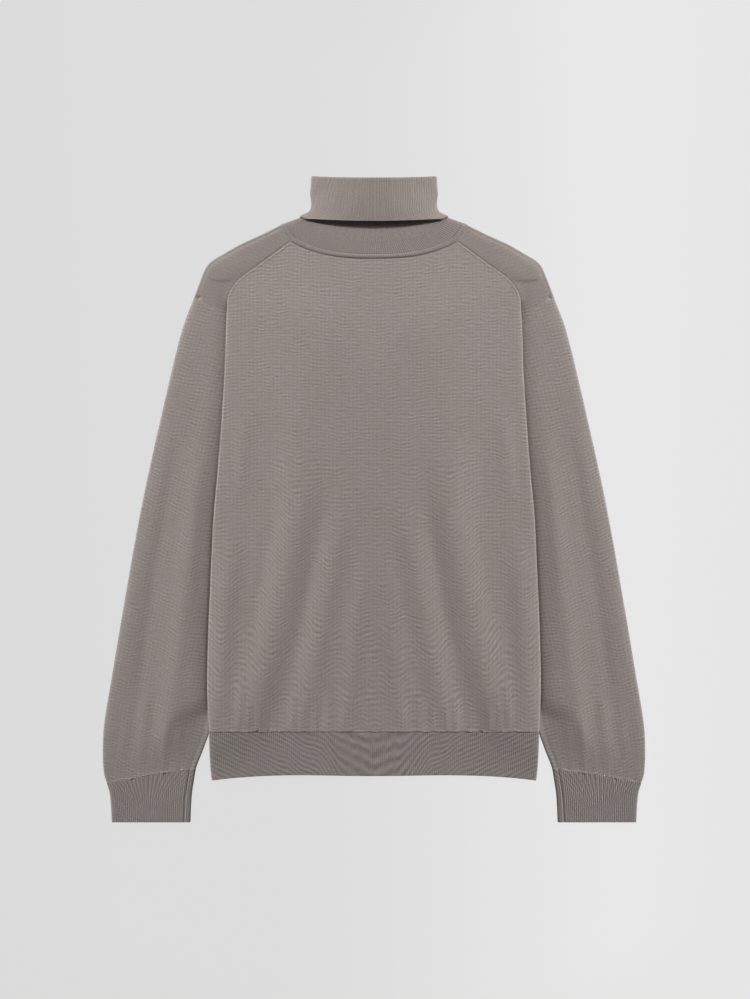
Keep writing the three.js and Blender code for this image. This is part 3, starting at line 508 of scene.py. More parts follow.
def sleeve_place(u, v):
    x, y, across, up, half_width = tube_plan(SLEEVE_INNER, SLEEVE_OUTER, JOIN / 2, JOIN / 2, u, v)
    top = sleeve_height(x, y, SLEEVE_CREASES)
    above_cuff = v * SLEEVE_LENGTH
    pucker = 0.35 * uneven(across * 26, 2) * np.exp(-above_cuff / PUCKER_REACH)
    seam = 0.45 * bump_at(above_cuff - 1.2, 1.0) * (0.6 + 0.6 * uneven(across * 40, 5))
    side_seam = 0.4 * bump_at((1 + across) * half_width - CUFF_SEAM_IN, 1.6) * (y < -200)
    under = UNDER + fold_relief(SLEEVE_BACK_FOLDS, x, y) * smooth((np.abs(x) - body_side(y)) / 20)
    return x, y, lerp(under, top + pucker + seam - side_seam - pitted(x, y), (up + 1) / 2)


def cuff_place(u, v):
    x, y, across, up, half_width = tube_plan(CUFF_INNER, CUFF_OUTER, 0, JOIN / 2, u, v)
    top = sleeve_height(x, y) + rib_lift(u, CUFF_RIBS, CUFF_RELIEF)
    top = top - 0.9 * bump_at((1 + across) * half_width - CUFF_SEAM_IN, 0.9) - pitted(x, y)
    return x, y, lerp(UNDER, top, (up + 1) / 2)


# Saddles, each from its front seam over the shoulder fold to its back seam
SADDLE_FLAT = 0.42
NECK_FOLD_WIDTH = 12
SEAM_LEVEL_WIDTH = 16
SEAM_LEVEL_MOST = 5.2
ARMPIT = (235, 12)
NECKWARD = (0.07, 0.24)
SHOULDER_BULGE = 1.1
BULGE_END = 34
SHOULDER_HOLLOW = ((206, 277), (203.5, 272.5), (198.6, 269), (187, 267.8), (171, 268.5))
shoulder_line = PlanLine(curve_points(SHOULDER))
saddle_front_points = curve_points([(177, 229.8), (179.4, 240), *reversed(SADDLE_SEAM[:7])])
saddle_front = PlanLine(saddle_front_points).moved(-JOIN / 2)
saddle_back = PlanLine(curve_points([*SADDLE_UNDER, *reversed(SADDLE_SEAM[:4])])).moved(-JOIN / 2)
hollow_line = PlanLine(curve_points(SHOULDER_HOLLOW))


def shoulder_height(x, y, from_fold, neckward):
    by_sleeve = sleeve_height(x, np.minimum(y, SLEEVE_OUTER[-1][0]))
    by_neck = OVER_LAID + lerp(*SADDLE_LOFT, smooth(neckward)) * quarter_round(from_fold / NECK_FOLD_WIDTH)
    return lerp(by_sleeve, by_neck, smooth((neckward - NECKWARD[0]) / NECKWARD[1]))


def saddle_place(u, v):
    trim = JOIN / 2 / shoulder_line.length
    along = lerp(trim, 1 - trim, v)
    fold_x, fold_y = shoulder_line.at(along)
    is_front = u <= 0.5
    front_x, front_y = saddle_front.at(along)
    back_x, back_y = saddle_back.at(along)
    inner_x, inner_y = np.where(is_front, front_x, back_x), np.where(is_front, front_y, back_y)
    whole = np.hypot(fold_x - inner_x, fold_y - inner_y)
    out_x, out_y = (fold_x - inner_x) / whole, (fold_y - inner_y) / whole
    length = whole - HALF - FOLD_RADIUS
    flat = np.where(is_front, u, 1 - u) / SADDLE_FLAT
    angle = math.pi / 2 - math.pi * (u - SADDLE_FLAT) / (1 - 2 * SADDLE_FLAT)
    reach = np.where(flat <= 1, length * flat, length + FOLD_RADIUS * np.cos(angle))
    x, y = inner_x + out_x * reach, inner_y + out_y * reach
    from_fold = np.where(flat <= 1, whole - HALF - reach, FOLD_RADIUS)
    level = shoulder_height(x, y, from_fold, along)
    by_seam = (1 - smooth(reach / SEAM_LEVEL_WIDTH)) * smooth((inner_y - ARMPIT[0]) / ARMPIT[1])
    seam_level = np.minimum(front_height(inner_x, inner_y), SEAM_LEVEL_MOST)
    above_arc = y - np.interp(x, *hollow_line.points[::-1].T)
    bulge = SHOULDER_BULGE * smooth(above_arc / 3.5) * smooth((BULGE_END - above_arc) / 22) * (1 - by_seam)
    crease = 0.7 * bump_at(above_arc - 1, 1.5) * smooth(from_fold / 6) * (1 - by_seam)
    groove = 0.5 * bump_at(reach - 1.2, 0.8) + 0.5 * bump_at(from_fold - 3.2, 1.2)
    front_level = lerp(level, seam_level, by_seam) + bulge + crease - groove - pitted(x, y)
    up = np.where(flat <= 1, np.where(is_front, 1.0, -1.0), np.sin(angle))
    return x, y, lerp(UNDER, front_level, (up + 1) / 2)


# The neckband and the collar: flattened rings whose front and back follow lines of their own
STAND_BACK = UNDER + CLOTH + SEAM
STAND_FRONT = STAND_BACK + CLOTH + 0.8
CORD_SHARE = 0.27
CORD_RELIEF = 1.2
BAND_RIBS = 84
BAND_RELIEF = 0.6
BAND_PITCH = 2 * band_front.length / BAND_RIBS
BAND_TRIM = 0.998
band_front_cut = band_front.moved(JOIN / 2)
band_back_cut = band_back.moved(JOIN / 2)


def ring_place(u, front_line, back_line, fold_share):
    across, up = loop_place(u, fold_share)
    share = np.abs(across)
    (front_x, front_y), (back_x, back_y) = front_line(share), back_line(share)
    frontward = (up + 1) / 2
    return np.sign(across) * lerp(back_x, front_x, frontward), lerp(back_y, front_y, frontward), up, share


def band_place(u, v):
    trimmed = v * BAND_TRIM

    def between(low, high):
        return lambda share: [lerp(a, b, trimmed) for a, b in zip(low.at(share), high.at(share))]

    x, y, up, share = ring_place(u, between(band_front_cut, band_top_front), between(band_back_cut, band_top_back),
                                 FOLD_RADIUS / band_front.length)
    seam_top = OVER_LAID + SADDLE_LOFT[1] * quarter_round((1 - share) * band_front.length / NECK_FOLD_WIDTH)
    in_cord = (v - CORD_SHARE / 2) / (CORD_SHARE / 2)
    on_top = (u > LOOP_TOP) & (u < LOOP_RIGHT)
    cord = CORD_RELIEF * np.sqrt(np.maximum(0, 1 - in_cord**2)) * (1 + 0.12 * uneven(x / 3, 4))
    ribs = rib_lift(u, BAND_RIBS, BAND_RELIEF) * smooth((v - CORD_SHARE) / 0.06)
    top = lerp(seam_top, STAND_FRONT, smooth(v)) + np.where(on_top, cord + ribs, 0)
    bottom = lerp(UNDER, STAND_BACK, smooth(v))
    return x, y, lerp(bottom, top, (up + 1) / 2)


FLAP_END, STAND_START = 0.5, 0.62
FLAP_FRONT = STAND_FRONT + CLOTH + SEAM
TOP_PUFF = 1.0
FLARE = 6  # how far the turned-down edge stands off the neck
TOP_FLARE = 0.6  # its share at the top fold
FLAP_CENTRE, FLAP_RISE, FLAP_CORNER, FLAP_BACK = 341, 3.7, 347.3, 352
FLAP_FOLD_RADIUS = 2.2
TOP_ROUND = 1.25
FOLD_Y = COLLAR_TOP - TOP_ROUND - HALF
TOP_DIP = 1.8
COLLAR_RIBS = 52
COLLAR_RELIEF = 0.35
STAND_RELIEF = 0.25
STAND_CREASES = (
    (2, 338, 16, 331, 46, 325, 4, 0.4),
    (20, 339, 44, 334, 70, 332, 4, 0.35),
)


def top_dip(share):
    return TOP_DIP * (1 - share**3)


def flap_place(u, rise):
    side_y = lerp(FLAP_CORNER, FOLD_Y, rise)
    half_width = width_at(COLLAR_SIDE, side_y) - HALF

    def line(centre_y, bend):
        def at(share):
            low = np.minimum(centre_y + bend * share**2, FLAP_CORNER)
            cornered = lerp(low, FLAP_CORNER, smooth((share - 0.93) / 0.07))
            return share * half_width, lerp(cornered, FOLD_Y - top_dip(share), rise)
        return at

    x, y, up, share = ring_place(u, line(FLAP_CENTRE, FLAP_RISE), line(FLAP_BACK, 0),
                                 FLAP_FOLD_RADIUS / half_width)
    flare = FLARE * lerp(1, TOP_FLARE, smooth(rise)) * (1 - share**3)
    edge = 0.3 * bump_at(rise, 0.025)
    ribs = rib_lift(u, COLLAR_RIBS, COLLAR_RELIEF) * smooth(rise / 0.05)
    swell = 0.5 * uneven(share * 3 + rise * 1.5, 1) * rise * (1 - rise) * 4
    top = FLAP_FRONT + flare + ribs + edge + swell
    return x, y, lerp(UNDER, top, (up + 1) / 2)


def stand_place(u, rise):
    base_x, base_y = BAND_TOP[-1]
    half_width = width_at(COLLAR_SIDE, lerp(base_y, FOLD_Y, rise)) - 2 * CLOTH - SEAM + HALF
    straighten = smooth(rise / 0.25)

    def line(base_line):
        def at(share):
            start_x, start_y = base_line.at(share)
            return (lerp(start_x * half_width / base_x, share * half_width, straighten),
                    lerp(start_y + JOIN, FOLD_Y - top_dip(share), rise))
        return at

    x, y, up, share = ring_place(u, line(band_top_front), line(band_top_back), FOLD_RADIUS / half_width)
    puff = TOP_PUFF * smooth((rise - 0.7) / 0.3)
    wrinkles = fold_relief(STAND_CREASES, x, y) + rib_lift(u, COLLAR_RIBS, STAND_RELIEF) * smooth(rise / 0.05)
    return x, y, lerp(STAND_BACK + puff, STAND_FRONT + puff + wrinkles, (up + 1) / 2)


def collar_place(u, v):
    """From the turned-down edge (v = 0) up to the top fold and down inside to the neckband (v = 1)."""
    flap = flap_place(u, np.minimum(v / FLAP_END, 1))
    stand = stand_place(u, np.minimum(1 - (v - STAND_START) / (1 - STAND_START), 1))
    turned = np.clip((v - FLAP_END) / (STAND_START - FLAP_END), 0, 1)
    inward = (1 - np.cos(math.pi * turned)) / 2
    x, y, z = [lerp(a, b, inward) for a, b in zip(flap, stand)]
    return x, y + TOP_ROUND * np.sin(math.pi * turned), z


# Grids of places, closer where a piece needs it
def graded(length, low, step, high):
    """Places from 0 to 1 along a length: low and high give (reach, step) from either end, and step the rest."""
    def run(bands):
        places = [0.0]
        for reach, fine in bands:
            count = max(1, round((reach - places[-1]) / fine))
            places += list(np.linspace(places[-1], reach, count + 1)[1:])
        return np.array(places)

    start, end = run(low), length - run(high)[::-1]
    middle = np.linspace(start[-1], end[0], max(2, round((end[0] - start[-1]) / step) + 1))
    return np.concatenate([start, middle[1:-1], end]) / length


def make_cloth(name, place, columns, rows, knit_map, material, ring=False, mirrored=False, flush=False,
               inner=None):
    """A piece of cloth over a grid of columns and rows, whose wall the Solidify modifier gives."""
    bm = bmesh.new()
    bm.loops.layers.uv.new("Knit")
    bmesh.ops.create_grid(bm, x_segments=len(columns) - 1, y_segments=len(rows) - 1, size=0.5, calc_uvs=True)
    corners = np.array([v.co[:2] for v in bm.verts]) + 0.5
    u = np.interp(corners[:, 0] * (len(columns) - 1), np.arange(len(columns)), columns)
    v = np.interp(corners[:, 1] * (len(rows) - 1), np.arange(len(rows)), rows)
    for vert, point in zip(bm.verts, (np.column_stack(place(u, v)) * MM).tolist()):
        vert.co = point
    # Faces of the collar's inside get the second, darker material: painted shade under the turned-down flap.
    painted_flap_shade = {vert for vert, share in zip(bm.verts, v) if inner and share >= STAND_START}
    for face in bm.faces:
        face.material_index = int(painted_flap_shade.issuperset(face.verts))
    last_row = {vert for vert, share in zip(bm.verts, v) if flush and share == 1}
    for edge in bm.edges:
        edge.smooth = not last_row.issuperset(edge.verts)
    if ring:
        bmesh.ops.remove_doubles(bm, verts=bm.verts, dist=1e-6)
    if mirrored:
        bmesh.ops.scale(bm, vec=(-1, 1, 1), verts=bm.verts)
        bmesh.ops.reverse_faces(bm, faces=bm.faces)
    for face in bm.faces:
        face.smooth = True
    mesh = bpy.data.meshes.new(name)
    bm.to_mesh(mesh)
    bm.free()
    set_knit_maps(mesh, columns, rows, knit_map)
    mesh.materials.append(material)
    if inner:
        mesh.materials.append(inner)
    cloth = bpy.data.objects.new(name, mesh)
    bpy.context.scene.collection.objects.link(cloth)
    wall = cloth.modifiers.new("Wall", "SOLIDIFY")
    wall.thickness = CLOTH * MM
    wall.offset = 0
    wall.use_quality_normals = True
    return cloth


def set_knit_maps(mesh, columns, rows, knit_map):
    """Two maps in millimetres: Knit for the stitches, and Courses, where folds bend the lines of the knit."""
    knit = mesh.uv_layers["Knit"]
    grid = np.zeros(2 * len(mesh.loops), np.float32)
    knit.data.foreach_get("uv", grid)
    grid = grid.reshape(-1, 2)
    u = np.interp(grid[:, 0] * (len(columns) - 1), np.arange(len(columns)), columns)
    v = np.interp(grid[:, 1] * (len(rows) - 1), np.arange(len(rows)), rows)
    across, along, bent = knit_map(u, v)
    knit.data.foreach_set("uv", np.column_stack([across, along]).astype(np.float32).ravel())
    courses = mesh.uv_layers.new(name="Courses")
    courses.data.foreach_set("uv", np.column_stack([across, bent]).astype(np.float32).ravel())
    mesh.uv_layers.active = knit


# How the knit runs on each piece: (across, along, along as bent by the folds)
BEND_BY_FOLD = 7  # how far a millimetre of relief bends the lines of the knit
COURSE_STRETCH = ((-345, -252), (-150, -125), (50, 50), (350, 350))  # the lines lie wider apart low on the body


def panel_knit(plan):
    def knit_map(u, v):
        x, y = plan(u, v)
        bend = BEND_BY_FOLD * fold_relief((*BODY_FOLDS, *BODY_CREASES), x, y)
        return x, y, np.interp(y, *np.array(COURSE_STRETCH, float).T) + bend + 3 * np.cos(x / 40)
    return knit_map


HEM_MIDDLE = 312  # the height from which the hem's lines are counted


def hem_knit(u, v):
    x, y = hem_plan(u, v)
    swings = 4 * np.sin(np.abs(x) / 8) * bump_at(np.abs(x) - 72, 34)
    diagonal = y + HEM_MIDDLE - 0.48 * np.sqrt(x**2 + 60) - swings
    return x, y, diagonal * lerp(0.4, 1, smooth((np.abs(x) - 25) / 60))


def sleeve_knit(u, v):
    x, y, across, up, half_width = tube_plan(SLEEVE_INNER, SLEEVE_OUTER, JOIN / 2, JOIN / 2, u, v)
    bend = BEND_BY_FOLD * fold_relief((*SLEEVE_FOLDS, *SLEEVE_CREASES), x, y)
    round_tube = np.where(up > 0, across * half_width, 2 * half_width - across * half_width)
    return round_tube, v * SLEEVE_LENGTH, y + bend - 0.18 * x


def cuff_knit(u, v):
    x, y, across, up, half_width = tube_plan(CUFF_INNER, CUFF_OUTER, 0, JOIN / 2, u, v)
    round_tube = np.where(up > 0, across * half_width, 2 * half_width - across * half_width)
    fan = (np.abs(x) - CUFF_FAN["x"]) * np.exp(-CUFF_FAN["spread"] * (y - CUFF_END - CUFF_FAN["even"]))
    return round_tube, v * 60, fan


def saddle_knit(u, v):
    x, y, z = saddle_place(u, v)
    return u * 190, v * 130, y * 0.9 - 0.3 * x


def band_knit(u, v):
    across = top_share(u) * BAND_PITCH * BAND_RIBS
    return across, v * 18, across - BAND_PITCH / 4


def collar_knit(u, v):
    across = (top_share(u) - 0.5) * 156
    return across, v * 118, across * (1 + 0.5 * v)


# Materials
def rgb(red, green, blue):
    """A colour as it looks on screen, turned into the shader's linear values."""
    return tuple((c / 255 / 12.92 if c <= 10 else ((c / 255 + 0.055) / 1.055) ** 2.4) for c in (red, green, blue))


def add_node(tree, kind, inputs=None, **settings):
    node = tree.nodes.new(kind)
    for key, value in settings.items():
        setattr(node, key, value)
    for socket, value in (inputs or {}).items():
        if isinstance(value, bpy.types.NodeSocket):
            tree.links.new(value, node.inputs[socket])
        else:
            node.inputs[socket].default_value = value
    return node


def calculate(tree, operation, *values):
    """The result of a Math node."""
    return add_node(tree, "ShaderNodeMath", dict(enumerate(values)), operation=operation).outputs[0]


def new_group(name, inputs, outputs):
    """An empty node group with named inputs (name, kind, value) and outputs (name, kind)."""
    tree = bpy.data.node_groups.new(name, "ShaderNodeTree")
    for label, kind, value in inputs:
        socket = tree.interface.new_socket(label, in_out="INPUT", socket_type=kind)
        if value is not None:
            socket.default_value = value
    for label, kind in outputs:
        tree.interface.new_socket(label, in_out="OUTPUT", socket_type=kind)
    return tree, tree.nodes.new("NodeGroupInput"), tree.nodes.new("NodeGroupOutput")


def use_group(tree, group, inputs):
    node = tree.nodes.new("ShaderNodeGroup")
    node.node_tree = group
    for socket, value in inputs.items():
        if isinstance(value, bpy.types.NodeSocket):
            tree.links.new(value, node.inputs[socket])
        else:
            node.inputs[socket].default_value = value
    return node


def stitch_group():
    """Stocking stitch: columns of small V-shaped loops."""
    tree, start, end = new_group("Stocking stitch", [
        ("Map", "NodeSocketVector", None), ("Stitch Width", "NodeSocketFloat", 1.5),
        ("Stitch Height", "NodeSocketFloat", 1.1)], [("Height", "NodeSocketFloat")])
    parts = add_node(tree, "ShaderNodeSeparateXYZ", {0: start.outputs["Map"]})
    across = calculate(tree, "DIVIDE", parts.outputs[0], start.outputs["Stitch Width"])
    along = calculate(tree, "DIVIDE", parts.outputs[1], start.outputs["Stitch Height"])
    leg = calculate(tree, "PINGPONG", across, 0.5)  # 0 in the middle of a V, 0.5 at its side
    leg_round = calculate(tree, "SINE", calculate(tree, "MULTIPLY", leg, 2 * math.pi))
    slanted = calculate(tree, "SUBTRACT", along, calculate(tree, "MULTIPLY", leg, 1.3))
    loop = calculate(tree, "SINE", calculate(tree, "MULTIPLY", slanted, 2 * math.pi))
    loop_round = calculate(tree, "MULTIPLY_ADD", loop, 0.35, 0.65)
    tree.links.new(calculate(tree, "MULTIPLY", leg_round, loop_round), end.inputs["Height"])
    return tree


DASH_PITCH = 15.0
DASH_DRIFT = 0.3
DASH_WANDER = 30.0
CROSS_PITCH = 4.9
STREAK_SCALE = (0.09, 0.4, 1)


def course_group():
    """Lines along the courses of the knit, wavy and broken into dashes, from yarn of uneven thickness."""
    tree, start, end = new_group("Uneven courses", [
        ("Map", "NodeSocketVector", None), ("Spacing", "NodeSocketFloat", 4.3), ("Waviness", "NodeSocketFloat", 1.0),
        ("Crossing", "NodeSocketFloat", 0.0), ("Dashes", "NodeSocketFloat", 0.5),
        ("Streaks", "NodeSocketFloat", 2.6)], [("Tone", "NodeSocketFloat")])
    parts = add_node(tree, "ShaderNodeSeparateXYZ", {0: start.outputs["Map"]})
    wander = add_node(tree, "ShaderNodeTexNoise", {"Vector": start.outputs["Map"], "Scale": 0.045, "Detail": 2.0})
    shift = calculate(tree, "MULTIPLY", calculate(tree, "SUBTRACT", wander.outputs["Fac"], 0.5), 10.0)
    shift = calculate(tree, "MULTIPLY", shift, start.outputs["Waviness"])
    along = calculate(tree, "ADD", parts.outputs[1], shift)
    turn = calculate(tree, "DIVIDE", calculate(tree, "MULTIPLY", along, 2 * math.pi), start.outputs["Spacing"])
    line = calculate(tree, "SINE", turn)
    drift = calculate(tree, "MULTIPLY_ADD", parts.outputs[1], DASH_DRIFT, parts.outputs[0])
    drift = calculate(tree, "MULTIPLY_ADD", wander.outputs["Fac"], DASH_WANDER, drift)
    dash = calculate(tree, "SINE", calculate(tree, "MULTIPLY", drift, 2 * math.pi / DASH_PITCH))
    dashed = calculate(tree, "MULTIPLY_ADD", calculate(tree, "MULTIPLY", dash, start.outputs["Dashes"]), line, line)
    cross_turn = calculate(tree, "MULTIPLY", parts.outputs[0], 2 * math.pi / CROSS_PITCH)
    cross = calculate(tree, "MULTIPLY", calculate(tree, "SINE", cross_turn), start.outputs["Crossing"])
    stretched = add_node(tree, "ShaderNodeVectorMath", {0: start.outputs["Map"], 1: STREAK_SCALE},
                         operation="MULTIPLY")
    streaks = add_node(tree, "ShaderNodeTexNoise", {"Vector": stretched.outputs[0], "Scale": 1.0, "Detail": 3.0})
    streak = calculate(tree, "SUBTRACT", streaks.outputs["Fac"], 0.5)
    streak = calculate(tree, "MULTIPLY", streak, start.outputs["Streaks"])
    broken = add_node(tree, "ShaderNodeTexNoise", {"Vector": start.outputs["Map"], "Scale": 0.045, "Detail": 3.0})
    amount = add_node(tree, "ShaderNodeMapRange", {0: broken.outputs["Fac"], 1: 0.34, 2: 0.62, 3: 0.4, 4: 1.0})
    lines = calculate(tree, "MULTIPLY", calculate(tree, "ADD", dashed, cross), amount.outputs[0])
    tree.links.new(calculate(tree, "ADD", lines, streak), end.inputs["Tone"])
    return tree


def heather_group():
    """Fibres of slightly different shades, in a fine grain and in faint patches."""
    tree, start, end = new_group("Heather", [("Map", "NodeSocketVector", None)],
                                 [("Grain", "NodeSocketFloat"), ("Patches", "NodeSocketFloat")])
    fine = add_node(tree, "ShaderNodeTexNoise", {"Vector": start.outputs["Map"], "Scale": 0.55, "Detail": 4.0})
    wide = add_node(tree, "ShaderNodeTexNoise", {"Vector": start.outputs["Map"], "Scale": 0.018, "Detail": 3.0})
    grain = calculate(tree, "MULTIPLY", calculate(tree, "SUBTRACT", fine.outputs["Fac"], 0.5), 2.0)
    patches = add_node(tree, "ShaderNodeMapRange", {0: wide.outputs["Fac"], 1: 0.4, 2: 0.65})
    tree.links.new(grain, end.inputs["Grain"])
    tree.links.new(patches.outputs[0], end.inputs["Patches"])
    return tree


stitches = stitch_group()
courses = course_group()
heather = heather_group()


def knit_material(name, dark, light, line_amount, grain_amount, spacing, stitch, crossing=0.0, waviness=1.0,
                  dashes=0.5, streaks=2.6):
    """Knitted cloth: its tone runs from dark to light by its lines, grain and stitches."""
    material = bpy.data.materials.new(name)
    material.use_nodes = True
    tree = material.node_tree
    shader = tree.nodes["Principled BSDF"]
    knit = add_node(tree, "ShaderNodeUVMap", uv_map="Knit").outputs[0]
    bent = add_node(tree, "ShaderNodeUVMap", uv_map="Courses").outputs[0]
    loops = use_group(tree, stitches, {"Map": knit, "Stitch Width": stitch[0],
                                       "Stitch Height": stitch[1]}).outputs[0]
    lines = use_group(tree, courses, {"Map": bent, "Spacing": spacing, "Crossing": crossing,
                                      "Waviness": waviness, "Dashes": dashes, "Streaks": streaks}).outputs[0]
    fibres = use_group(tree, heather, {"Map": knit})
    tone = calculate(tree, "MULTIPLY_ADD", lines, line_amount, 0.42)
    tone = calculate(tree, "MULTIPLY_ADD", fibres.outputs["Grain"], grain_amount, tone)
    # The stitches' raised loops are painted lighter and the gaps between them darker: painted shade of the stitch
    # relief, on top of its bump.
    tone = calculate(tree, "MULTIPLY_ADD", loops, 0.16, tone)
    cloth = add_node(tree, "ShaderNodeMix", {"Factor": tone, 6: (*rgb(*dark), 1), 7: (*rgb(*light), 1)},
                     data_type="RGBA")
    patched = calculate(tree, "MULTIPLY", fibres.outputs["Patches"], 0.5)
    tinted = add_node(tree, "ShaderNodeMix", {"Factor": patched, 6: cloth.outputs[2], 7: (*rgb(*COOL), 1)},
                      data_type="RGBA", blend_type="MULTIPLY")
    bump = add_node(tree, "ShaderNodeBump", {"Height": loops, "Distance": 0.25 * MM, "Strength": 0.6})
    tree.links.new(tinted.outputs[2], shader.inputs["Base Color"])
    tree.links.new(bump.outputs["Normal"], shader.inputs["Normal"])
    shader.inputs["Roughness"].default_value = 0.95
    shader.inputs["Specular IOR Level"].default_value = 0.15
    shader.inputs["Sheen Weight"].default_value = 0.12
    shader.inputs["Sheen Roughness"].default_value = 0.5
    return material


COOL = (246, 251, 245)
jersey = knit_material("Jersey", (126, 116, 113), (180, 170, 166), 0.17, 0.37, 4.3, (1.5, 1.1), 0.4)
# The sleeves' jersey is a darker copy of the body's jersey: painted shade for the light falling off on the sleeves.
sleeve_jersey_painted_darker = knit_material("Sleeve jersey painted darker", (123, 113, 110), (176, 166, 162), 0.17, 0.37, 4.3, (1.5, 1.1), 0.4)
saddle_jersey = knit_material("Saddle jersey", (121, 111, 108), (174, 164, 160), 0.07, 0.45, 4.3, (1.5, 1.1))
# The hem's and cuffs' ribs are darker partly by their yarn's own tone and partly as painted shade of the ribs'
# self-shadow.
hem_rib_and_painted_shade = knit_material("Hem rib and painted shade", (112, 103, 100), (166, 157, 154), 0.24, 0.4, 5.8, (2.4, 1.1),
                        waviness=0.7, dashes=0.3, streaks=1.6)
cuff_rib_and_painted_shade = knit_material("Cuff rib and painted shade", (112, 104, 101), (166, 157, 154), 0.28, 0.35, 4.6, (2.4, 1.1),
                         waviness=0.25, dashes=0.1, streaks=1.2)
# The collar's rib is painted lighter than the other ribs: painted light for how the light falls on the collar.
collar_rib_painted_lighter = knit_material("Collar rib painted lighter", (118, 108, 104), (173, 163, 159), 0.1, 0.45, 4.2, (3.0, 1.1), streaks=4.0)
# The neckband's rib, darker than the collar's: partly its own tone and partly painted shade of its ribs; on the
# collar's inside it is painted shade under the turned-down flap.
band_rib_and_painted_stand_shade = knit_material("Band rib and painted stand shade", (109, 100, 97), (166, 157, 153), 0.17, 0.4, BAND_PITCH, (BAND_PITCH, 1.1),
                         waviness=0.0, dashes=0.0, streaks=1.0)

# The pieces, each in place of its solid
def add_piece(node, place, columns, rows, knit_map, material, ring=False,
              flush=False, inner=None):
    mirrored = node.endswith("_left")
    cloth = make_cloth(f"{node}_cloth", place, columns, rows, knit_map, material, ring, mirrored, flush, inner)
    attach(cloth, "root")
    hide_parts(node)


def add_pair(kind, place, columns, rows, knit_map, material, ring):
    for side in ("left", "right"):
        add_piece(f"{kind}_{side}", place, columns, rows, knit_map, material,
                  ring)


EDGE_STEPS = [(0.15, 0.15), (EDGE_RADIUS, 0.35), (6, 1.1)]
panel_columns = graded(2 * PANEL_WIDTH, EDGE_STEPS, 2.15, EDGE_STEPS)
front_rows = graded(601, [(5, 0.6), (40, 1.6)], 3, [(5, 0.6), (24, 1.4)])
back_columns = np.linspace(0, 1, 81)
back_rows = graded(616, [(4, 1)], 8, [(4, 1)])

add_piece("back", back_place, back_columns, back_rows, panel_knit(lambda u, v: panel_plan(back_top, 0.5, u, v)),
          jersey)
add_piece("front", front_place, panel_columns, front_rows,
          panel_knit(lambda u, v: panel_plan(front_top, FRONT_CORNER, u, v)),
          jersey)
hem_rows = graded(55, [(2, 0.7)], 3.5, [(5, 0.7)])
add_piece("hem_front", hem_front_place, np.linspace(0, 1, 4 * HEM_RIBS + 1), hem_rows, hem_knit,
          hem_rib_and_painted_shade)
add_piece("hem_back", hem_back_place, np.linspace(0, 1, 121), hem_rows, hem_knit,
          hem_rib_and_painted_shade)
sleeve_rows = graded(585, [(5, 0.7), (30, 1.8)], 3.1, [(4, 1)])
add_pair("sleeve", sleeve_place, loop_columns(72, 8, 22), sleeve_rows, sleeve_knit,
         sleeve_jersey_painted_darker, True)
cuff_rows = graded(60, [(2, 0.7)], 3, [(4, 0.7)])
add_pair("cuff", cuff_place, loop_columns(4 * CUFF_RIBS, 8, 40), cuff_rows, cuff_knit,
         cuff_rib_and_painted_shade, True)
saddle_columns = np.concatenate([
    np.linspace(0, 0.06, 7), np.linspace(0.06, SADDLE_FLAT, 26)[1:],
    np.linspace(SADDLE_FLAT, 1 - SADDLE_FLAT, 9)[1:], np.linspace(1 - SADDLE_FLAT, 1, 13)[1:]])
add_pair("saddle", saddle_place, saddle_columns, graded(165, [(3, 0.8)], 1.3, [(3, 0.8)]), saddle_knit,
         saddle_jersey, False)
add_piece("neckband", band_place, loop_columns(4 * BAND_RIBS, 8, 60), graded(18, [(6, 0.5)], 1.2, [(1, 0.5)]),
          band_knit, band_rib_and_painted_stand_shade, True, True)
# The collar's inside takes the neckband's darker material as painted shade under the flap.
add_piece("collar", collar_place, loop_columns(4 * COLLAR_RIBS, 10, 60), graded(118, [(3, 0.6)], 2, [(2, 1)]),
          collar_knit, collar_rib_painted_lighter, True, True, band_rib_and_painted_stand_shade)

# Sewing along the seams
STITCH = {"length": 2.7, "width": 1.3, "height": 0.9}


def thread_material():
    material = bpy.data.materials.new("Sewing yarn")
    material.use_nodes = True
    tree = material.node_tree
    shader = tree.nodes["Principled BSDF"]
    place = add_node(tree, "ShaderNodeTexCoord").outputs["Object"]
    scaled = add_node(tree, "ShaderNodeMapping", {"Vector": place, "Scale": (1 / MM, 1 / MM, 1 / MM)}).outputs[0]
    grain = use_group(tree, heather, {"Map": scaled}).outputs["Grain"]
    tone = calculate(tree, "MULTIPLY_ADD", grain, 0.8, 0.5)
    yarn = add_node(tree, "ShaderNodeMix", {"Factor": tone, 6: (*rgb(138, 129, 125), 1), 7: (*rgb(204, 194, 190), 1)},
                    data_type="RGBA").outputs[2]
    tree.links.new(yarn, shader.inputs["Base Color"])
    shader.inputs["Roughness"].default_value = 0.9
    shader.inputs["Specular IOR Level"].default_value = 0.2
    return material


yarn_finish = thread_material()


